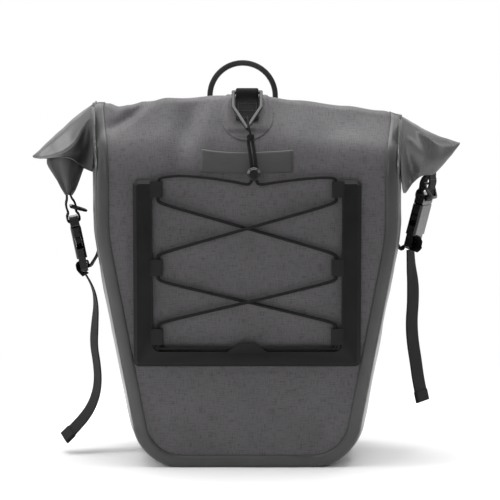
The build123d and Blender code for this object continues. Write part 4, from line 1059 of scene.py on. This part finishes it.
def upper_loop(side, sign, place, material, tree, thread):
    """The strap from the wing's tip: doubled round the D-ring and the buckle's bar, then sewn."""
    outer = [(1.6, 27), (2.2, 20), (4.6, 15.6), (5.2, 11.4), (4.8, 7.6), (4.2, 5.0), (5.0, 3.0),
             (6.5, 1.4), (6.8, -2.0), (6.2, -5.6), (3.0, -5.9)]
    route = outer + [(-x, z) for x, z in reversed(outer)]
    world = [tuple(place @ Vector((x, 0, z))) for x, z in route]
    line = even_steps(smooth_line(world), BAND_STEP)
    level = tuple(place.to_3x3() @ Vector((0, 1, 0)))
    obj = webbing_strip(f"{side}_upper_webbing", line, BAND_WIDTH, LOOP_THICK, steady, material,
                        level=level)
    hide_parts(f"{side}_top_strap")
    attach(obj, "bag")
    rows = []
    for face in (-1, 1):
        for z, out in ((5.4, 5.6), (17.0, 5.0)):
            rows.append([tuple(place @ Vector((face * out, y, z))) for y in range(-10, 11, 2)])
    stitch_rows(f"{side}_upper_stitches", rows, tree, thread)


def gusset_patch(side, sign, z_mid, material, tree, thread):
    """A sewn patch on the gusset that holds the lower strap."""
    s_mid = sign * next(s for s, p in RIM if p.x > 60 and p.y >= z_mid)
    columns, rows = 25, 22
    points, places = [], []
    for i in range(rows):
        for j in range(columns):
            a, b = 2 * j / (columns - 1) - 1, 2 * i / (rows - 1) - 1
            pull = 1.0 - 0.05 * (a * a * b * b)
            y, s = PATCH_MID_Y + PATCH_HALF_DEPTH * a * pull, s_mid + PATCH_HALF_HEIGHT * b * pull
            edge = min(1 - abs(a), 1 - abs(b))
            points.append(on_gusset(s, y, 0.3 + 1.0 * ease(edge, 0.0, 0.09)))
            places.append((PATCH_HALF_DEPTH * a, PATCH_HALF_HEIGHT * b))
    obj = piece(f"{side}_sewn_patch", points, grid_faces(rows, columns), material, places)
    thicken(obj, 1.2)
    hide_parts(f"{side}_anchor_patch")
    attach(obj, "bag")
    box = [(-12, -10), (12, -10), (12, 10), (-12, 10), (-12, -10), (12, 10)]
    corners = [tuple(on_gusset(s_mid + b, PATCH_MID_Y + a, 1.5)) for a, b in box]
    stitch_rows(f"{side}_patch_stitches", [corners], tree, thread)
    return on_gusset(s_mid, PATCH_MID_Y, 2.3)


def lower_webbing(side, sign, place, low, tail_start, turn, material):
    """The strap from the top of its tail, through the buckle's ladder, down to its patch."""
    threaded = [(5.1, -59.5), (5.3, -55.0), (5.0, -51.4), (-5.0, -51.2), (-5.6, -54.0),
                (-5.6, -60.0)]
    ladder = [place @ Vector((sign * x, 0, z)) for x, z in threaded]
    end = low - Vector((0, 0, 9.0)) + Vector((-sign * 1.4, 0, 0))
    route = [tail_start] + [tuple(p) for p in ladder]
    route += [tuple(ladder[-1].lerp(low, 0.35)), tuple(ladder[-1].lerp(low, 0.75)),
              tuple(low + Vector((sign * 0.4, 0, 5.0))), tuple(end)]
    line = even_steps(smooth_line(route), BAND_STEP)
    obj = webbing_strip(f"{side}_lower_webbing", line, BAND_WIDTH, BAND_THICK,
                        lambda share: sign * turn * (1 - share), material)
    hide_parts(f"{side}_lower_strap")
    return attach(obj, "bag")


def side_webbing(side, sign, top, bottom, turn, tail_start, material, tree, thread):
    place = buckle_place(sign, top, bottom, turn)
    upper_loop(side, sign, place, material, tree, thread)
    low = gusset_patch(side, sign, bottom[1] - PATCH_DROP, material, tree, thread)
    lower_webbing(side, sign, place, low, tail_start, turn, material)


# ---------------------------------------------------------------- bungee
CORD_X, CORD_Y = 93.1, -76.5
TAB_HEIGHTS = (296.0, 214.0, 141.0)
TAB_HALF = 8.5 + 4.2
LOCK_X, LOCK_Z, LOCK_CORD_Y = 7.0, 312.0, -77.5
# From the lock to the top tab: out from the strand, back, and up from the lock's underside.
TOP_STRAND = {
    -1: [(3.0, 0.0, -3.8), (8.0, 0.0, -3.4), (20.0, -0.6, -0.6), (46.0, 0.4, 3.4), (72.0, 0.8, 5.4),
         (83.0, 0.9, 5.0)],
    1: [(3.0, 0.0, -4.0), (8.0, 0.0, -3.8), (20.0, -0.6, -1.6), (44.0, 0.4, 1.6), (63.0, 0.8, 3.2),
        (73.5, 0.9, 3.4)],
}


def half_route(side):
    """The bungee's route from its knot down one side, as part of one long cord."""
    strand = LOCK_X + side * 2.4
    x = side * CORD_X
    over, under = CORD_Y - 2.6, CORD_Y + 2.0
    first, second = (under, over) if side < 0 else (over, under)
    top, middle, low = TAB_HEIGHTS
    spread = TOP_STRAND[side]
    return [
        (3.5 + side * 2.4, -71.0, 345.1),
        (strand, LOCK_CORD_Y, LOCK_Z + 12.5),
        (strand, LOCK_CORD_Y, LOCK_Z - 8.6),
        *[(strand + side * out, LOCK_CORD_Y + back, LOCK_Z - 7.0 + rise)
          for out, back, rise in spread],
        (x - side * 2.2, CORD_Y, top + TAB_HALF - 0.4),
        (x, CORD_Y, top + TAB_HALF - 4.6),
        (x, CORD_Y, top - TAB_HALF + 3.0),
        (x, CORD_Y, top - TAB_HALF - 0.6),
        (x - side * 14.0, CORD_Y - side * 0.2, top - TAB_HALF - 5.6),
        (0, first, (top + middle) / 2),
        (-x + side * 14.0, CORD_Y, middle + TAB_HALF + 5.6),
        (-x, CORD_Y, middle + TAB_HALF + 0.6),
        (-x, CORD_Y, middle + TAB_HALF - 3.0),
        (-x, CORD_Y, middle - TAB_HALF + 3.0),
        (-x, CORD_Y, middle - TAB_HALF - 0.6),
        (-x + side * 14.0, CORD_Y, middle - TAB_HALF - 5.0),
        (0, second, (middle + low) / 2),
        (x - side * 14.0, CORD_Y, low + TAB_HALF + 5.0),
        (x, CORD_Y, low + TAB_HALF + 0.6),
        (x, CORD_Y, low + TAB_HALF - 3.0),
        (x, CORD_Y, low - TAB_HALF + 3.4),
        (x, CORD_Y, low - TAB_HALF),
        (x - side * 4.0, CORD_Y, low - TAB_HALF),
    ]


def round_tube(name, line, radius, around, material, braid=0.0):
    """A round cord along (point, direction) pairs, with a braided surface if asked."""
    points, places = [], []
    side = Vector((1, 0, 0))
    for k, (centre, along) in enumerate(line):
        side = (side - along * side.dot(along)).normalized()
        face = along.cross(side)
        for j in range(around):
            turn = 2 * math.pi * j / around
            r = radius * (1 + (braid if (j + k) % 2 else -braid))
            points.append(centre + (side * math.cos(turn) + face * math.sin(turn)) * r)
            places.append((2 * math.pi * radius * j / around, k * 1.2))
    faces = grid_faces(len(line), around, close_columns=True)
    faces.append(tuple(range(around))[::-1])
    faces.append(tuple(range((len(line) - 1) * around, len(line) * around)))
    return piece(name, points, faces, material, places)


def bungee(material):
    route = half_route(-1) + half_route(1)[::-1]
    line = even_steps(smooth_line(route), 1.2)
    obj = round_tube("elastic_cord", line, BUNGEE_RADIUS, 12, material, BRAID_RELIEF)
    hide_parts("bungee_cord")
    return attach(obj, "bag")


def overhand_knot(material):
    """The knot that joins the bungee's two ends."""
    cx, cy, cz = 3.5, -71.0, 350.0
    turns = [(-2.4, 0, -5.0), (-2.6, -1.5, -2.0), (1.0, -2.6, 0.5), (2.9, 0, 2.4), (1.0, 2.6, 0.5),
             (-2.8, 1.2, -0.8), (-2.2, -2.4, 1.8), (1.4, -2.0, 2.6), (2.8, 1.6, -0.6),
             (0.4, 2.4, -2.2), (-0.6, -2.2, -2.4), (2.6, -1.0, -3.0), (2.4, 0, -5.0)]
    route = [(cx + x, cy + y, cz + z) for x, y, z in turns]
    line = even_steps(smooth_line(route), 0.6)
    obj = round_tube("cord_knot", line, KNOT_RADIUS, 10, material, BRAID_RELIEF)
    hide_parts("bungee_knot")
    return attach(obj, "bag")


def ring_loop(material):
    """The thin loop that ties the knot to the point of the hook ring."""
    route = [(3.5, -73.2, 353.6), (2.6, -72.8, 358.2), (1.4, -70.2, 363.0), (0.2, -64.4, 370.0),
             (0.0, -60.4, 371.4), (0.0, -57.6, 367.0), (1.2, -63.6, 359.2), (2.8, -68.0, 356.4),
             (3.5, -68.8, 353.6)]
    line = even_steps(smooth_line(route), 0.6)
    obj = round_tube("ring_loop_cord", line, RING_LOOP_RADIUS, 10, material, BRAID_RELIEF)
    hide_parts("knot_loop")
    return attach(obj, "bag")


# ---------------------------------------------------------------- stitches by Geometry Nodes
def stitch_tree():
    """Lays short thread stitches along a curve: named inputs for pitch, length and thread."""
    tree = bpy.data.node_groups.new("thread_stitches", "GeometryNodeTree")
    face = tree.interface
    face.new_socket("Seam Line", in_out="INPUT", socket_type="NodeSocketGeometry")
    for label, value in (("Pitch", 0.0028), ("Stitch Length", 0.0020), ("Thread Radius", 0.00028)):
        socket = face.new_socket(label, in_out="INPUT", socket_type="NodeSocketFloat")
        socket.default_value = value
    face.new_socket("Thread", in_out="INPUT", socket_type="NodeSocketMaterial")
    face.new_socket("Stitches", in_out="OUTPUT", socket_type="NodeSocketGeometry")
    nodes, links = tree.nodes, tree.links
    inputs = nodes.new("NodeGroupInput").outputs
    resample = nodes.new("GeometryNodeResampleCurve")
    resample.mode = "LENGTH"
    links.new(inputs["Seam Line"], resample.inputs["Curve"])
    links.new(inputs["Pitch"], resample.inputs["Length"])
    thread = nodes.new("GeometryNodeMeshCylinder")
    thread.inputs["Vertices"].default_value = 6
    thread.inputs["Side Segments"].default_value = 1
    links.new(inputs["Thread Radius"], thread.inputs["Radius"])
    links.new(inputs["Stitch Length"], thread.inputs["Depth"])
    tangent = nodes.new("GeometryNodeInputTangent")
    align = nodes.new("FunctionNodeAlignRotationToVector")
    align.axis = "Z"
    links.new(tangent.outputs["Tangent"], align.inputs["Vector"])
    place = nodes.new("GeometryNodeInstanceOnPoints")
    links.new(resample.outputs["Curve"], place.inputs["Points"])
    links.new(thread.outputs["Mesh"], place.inputs["Instance"])
    links.new(align.outputs["Rotation"], place.inputs["Rotation"])
    realize = nodes.new("GeometryNodeRealizeInstances")
    links.new(place.outputs["Instances"], realize.inputs["Geometry"])
    finish = nodes.new("GeometryNodeSetMaterial")
    links.new(realize.outputs["Geometry"], finish.inputs["Geometry"])
    links.new(inputs["Thread"], finish.inputs["Material"])
    out = nodes.new("NodeGroupOutput")
    links.new(finish.outputs["Geometry"], out.inputs["Stitches"])
    return tree


def stitch_rows(name, rows, tree, material, pitch=2.8, length=2.0, thread=0.28):
    """Stitches along rows of points in millimetres, as one plain mesh."""
    curve = bpy.data.curves.new(name, "CURVE")
    curve.dimensions = "3D"
    for row in rows:
        spline = curve.splines.new("POLY")
        spline.points.add(len(row) - 1)
        for point, place in zip(spline.points, row):
            point.co = (*(c * MM for c in place), 1.0)
    obj = bpy.data.objects.new(name, curve)
    bpy.context.collection.objects.link(obj)
    sewing = obj.modifiers.new("sewing", "NODES")
    sewing.node_group = tree
    values = {"Pitch": pitch * MM, "Stitch Length": length * MM, "Thread Radius": thread * MM,
              "Thread": material}
    for item in tree.interface.items_tree:
        if item.in_out == "INPUT" and item.name in values:
            sewing[item.identifier] = values[item.name]
    graph = bpy.context.evaluated_depsgraph_get()
    mesh = bpy.data.meshes.new_from_object(obj.evaluated_get(graph))
    made = bpy.data.objects.new(name, mesh)
    bpy.data.objects.remove(obj)
    made.name = name
    bpy.context.collection.objects.link(made)
    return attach(made, "bag")


# ---------------------------------------------------------------- finishes for the CAD nodes
def dress(finishes):
    by_slot = {
        "heather_fabric": "cloth", "smooth_tpu": "tpu", "seam_tape": "tape",
        "label_rubber": "label", "stiffener": "board", "moulded_black": "plastic",
        "handle_rubber": "handle", "gloss_black": "gloss", "bungee": "braid", "webbing": "web",
        "steel": "steel",
    }
    for entry in frame["record"]["subparts"]:
        obj = frame["nodes"][entry["node"]]
        obj.data.materials.clear()
        obj.data.materials.append(finishes[by_slot[entry["material_slot"]]])


make_camera()
make_studio()
finishes = {
    "cloth": heather_cloth(),
    # inside: the dark colour the coating takes where its painted shade is marked.
    "tpu": smooth_coating("satin_coating", 0.090, 0.30, inside=0.003),
    "tape": smooth_coating("seam_tape_coating", 0.048, 0.36),
    "label": label_rubber(),
    "board": board_finish(),
    "plastic": moulded_plastic("moulded_plastic", 0.011, 0.42),
    # The last number of a moulded finish is the strength of its painted edge highlight.
    "handle": moulded_plastic("handle_rubber", 0.05, 0.36, 0.1),
    "gloss": gloss_coat("gloss_coat", 0.005),
    "braid": braided_sleeve(),
    "web": woven_band("woven_band", 0.008),
    "steel": bright_steel(),
    "thread": thread_finish(),
}
dress(finishes)
front_cloth(finishes["cloth"])
collar_cloth(finishes["cloth"])
back_cloth(finishes["cloth"])
gusset_cloth(finishes["tpu"])
TAPE_SECTION = [(12.6, -0.1), (12.3, -0.7), (9.5, -0.75), (6.5, -0.7), (4.0, -0.35), (2.2, 0.2),
                (0.8, 1.3), (-0.1, 2.8), (-0.8, 4.8), (-1.5, 7.5)]
seam_band("edge_tape", finishes["tape"], TAPE_SECTION, RIM_LENGTH, "seam_tape")
rolled_top(finishes["cloth"])
wing_cloth("left_wing_cloth", LEFT_HOOD, LEFT_GATHER, finishes["tpu"], "left_wing")
wing_cloth("right_wing_cloth", RIGHT_HOOD, RIGHT_GATHER, finishes["tpu"], "right_wing")
lift_disc("weld_patch", 0.0, 374.0, 28.0, finishes["cloth"], "hook_patch", 0.5)
face_label(finishes["label"])
strap_tail("left", LEFT_TAIL, lambda s: -10 - 16 * ease(s, 0.0, 0.4),
           finishes["web"])
strap_tail("right", RIGHT_TAIL, lambda s: 26 + 12 * ease(s, 0.0, 0.3),
           finishes["web"])
tree = stitch_tree()
hook_strip(finishes["web"], tree, finishes["thread"])
side_webbing("left", -1, (191.5, 5.0, 263.0), (179.5, 203.0), 8.0, LEFT_TAIL[0],
             finishes["web"], tree, finishes["thread"])
side_webbing("right", 1, (195.5, 5.0, 288.0), (181.0, 232.0), 24.0, RIGHT_TAIL[0],
             finishes["web"], tree, finishes["thread"])
bungee(finishes["braid"])
overhand_knot(finishes["braid"])
ring_loop(finishes["braid"])
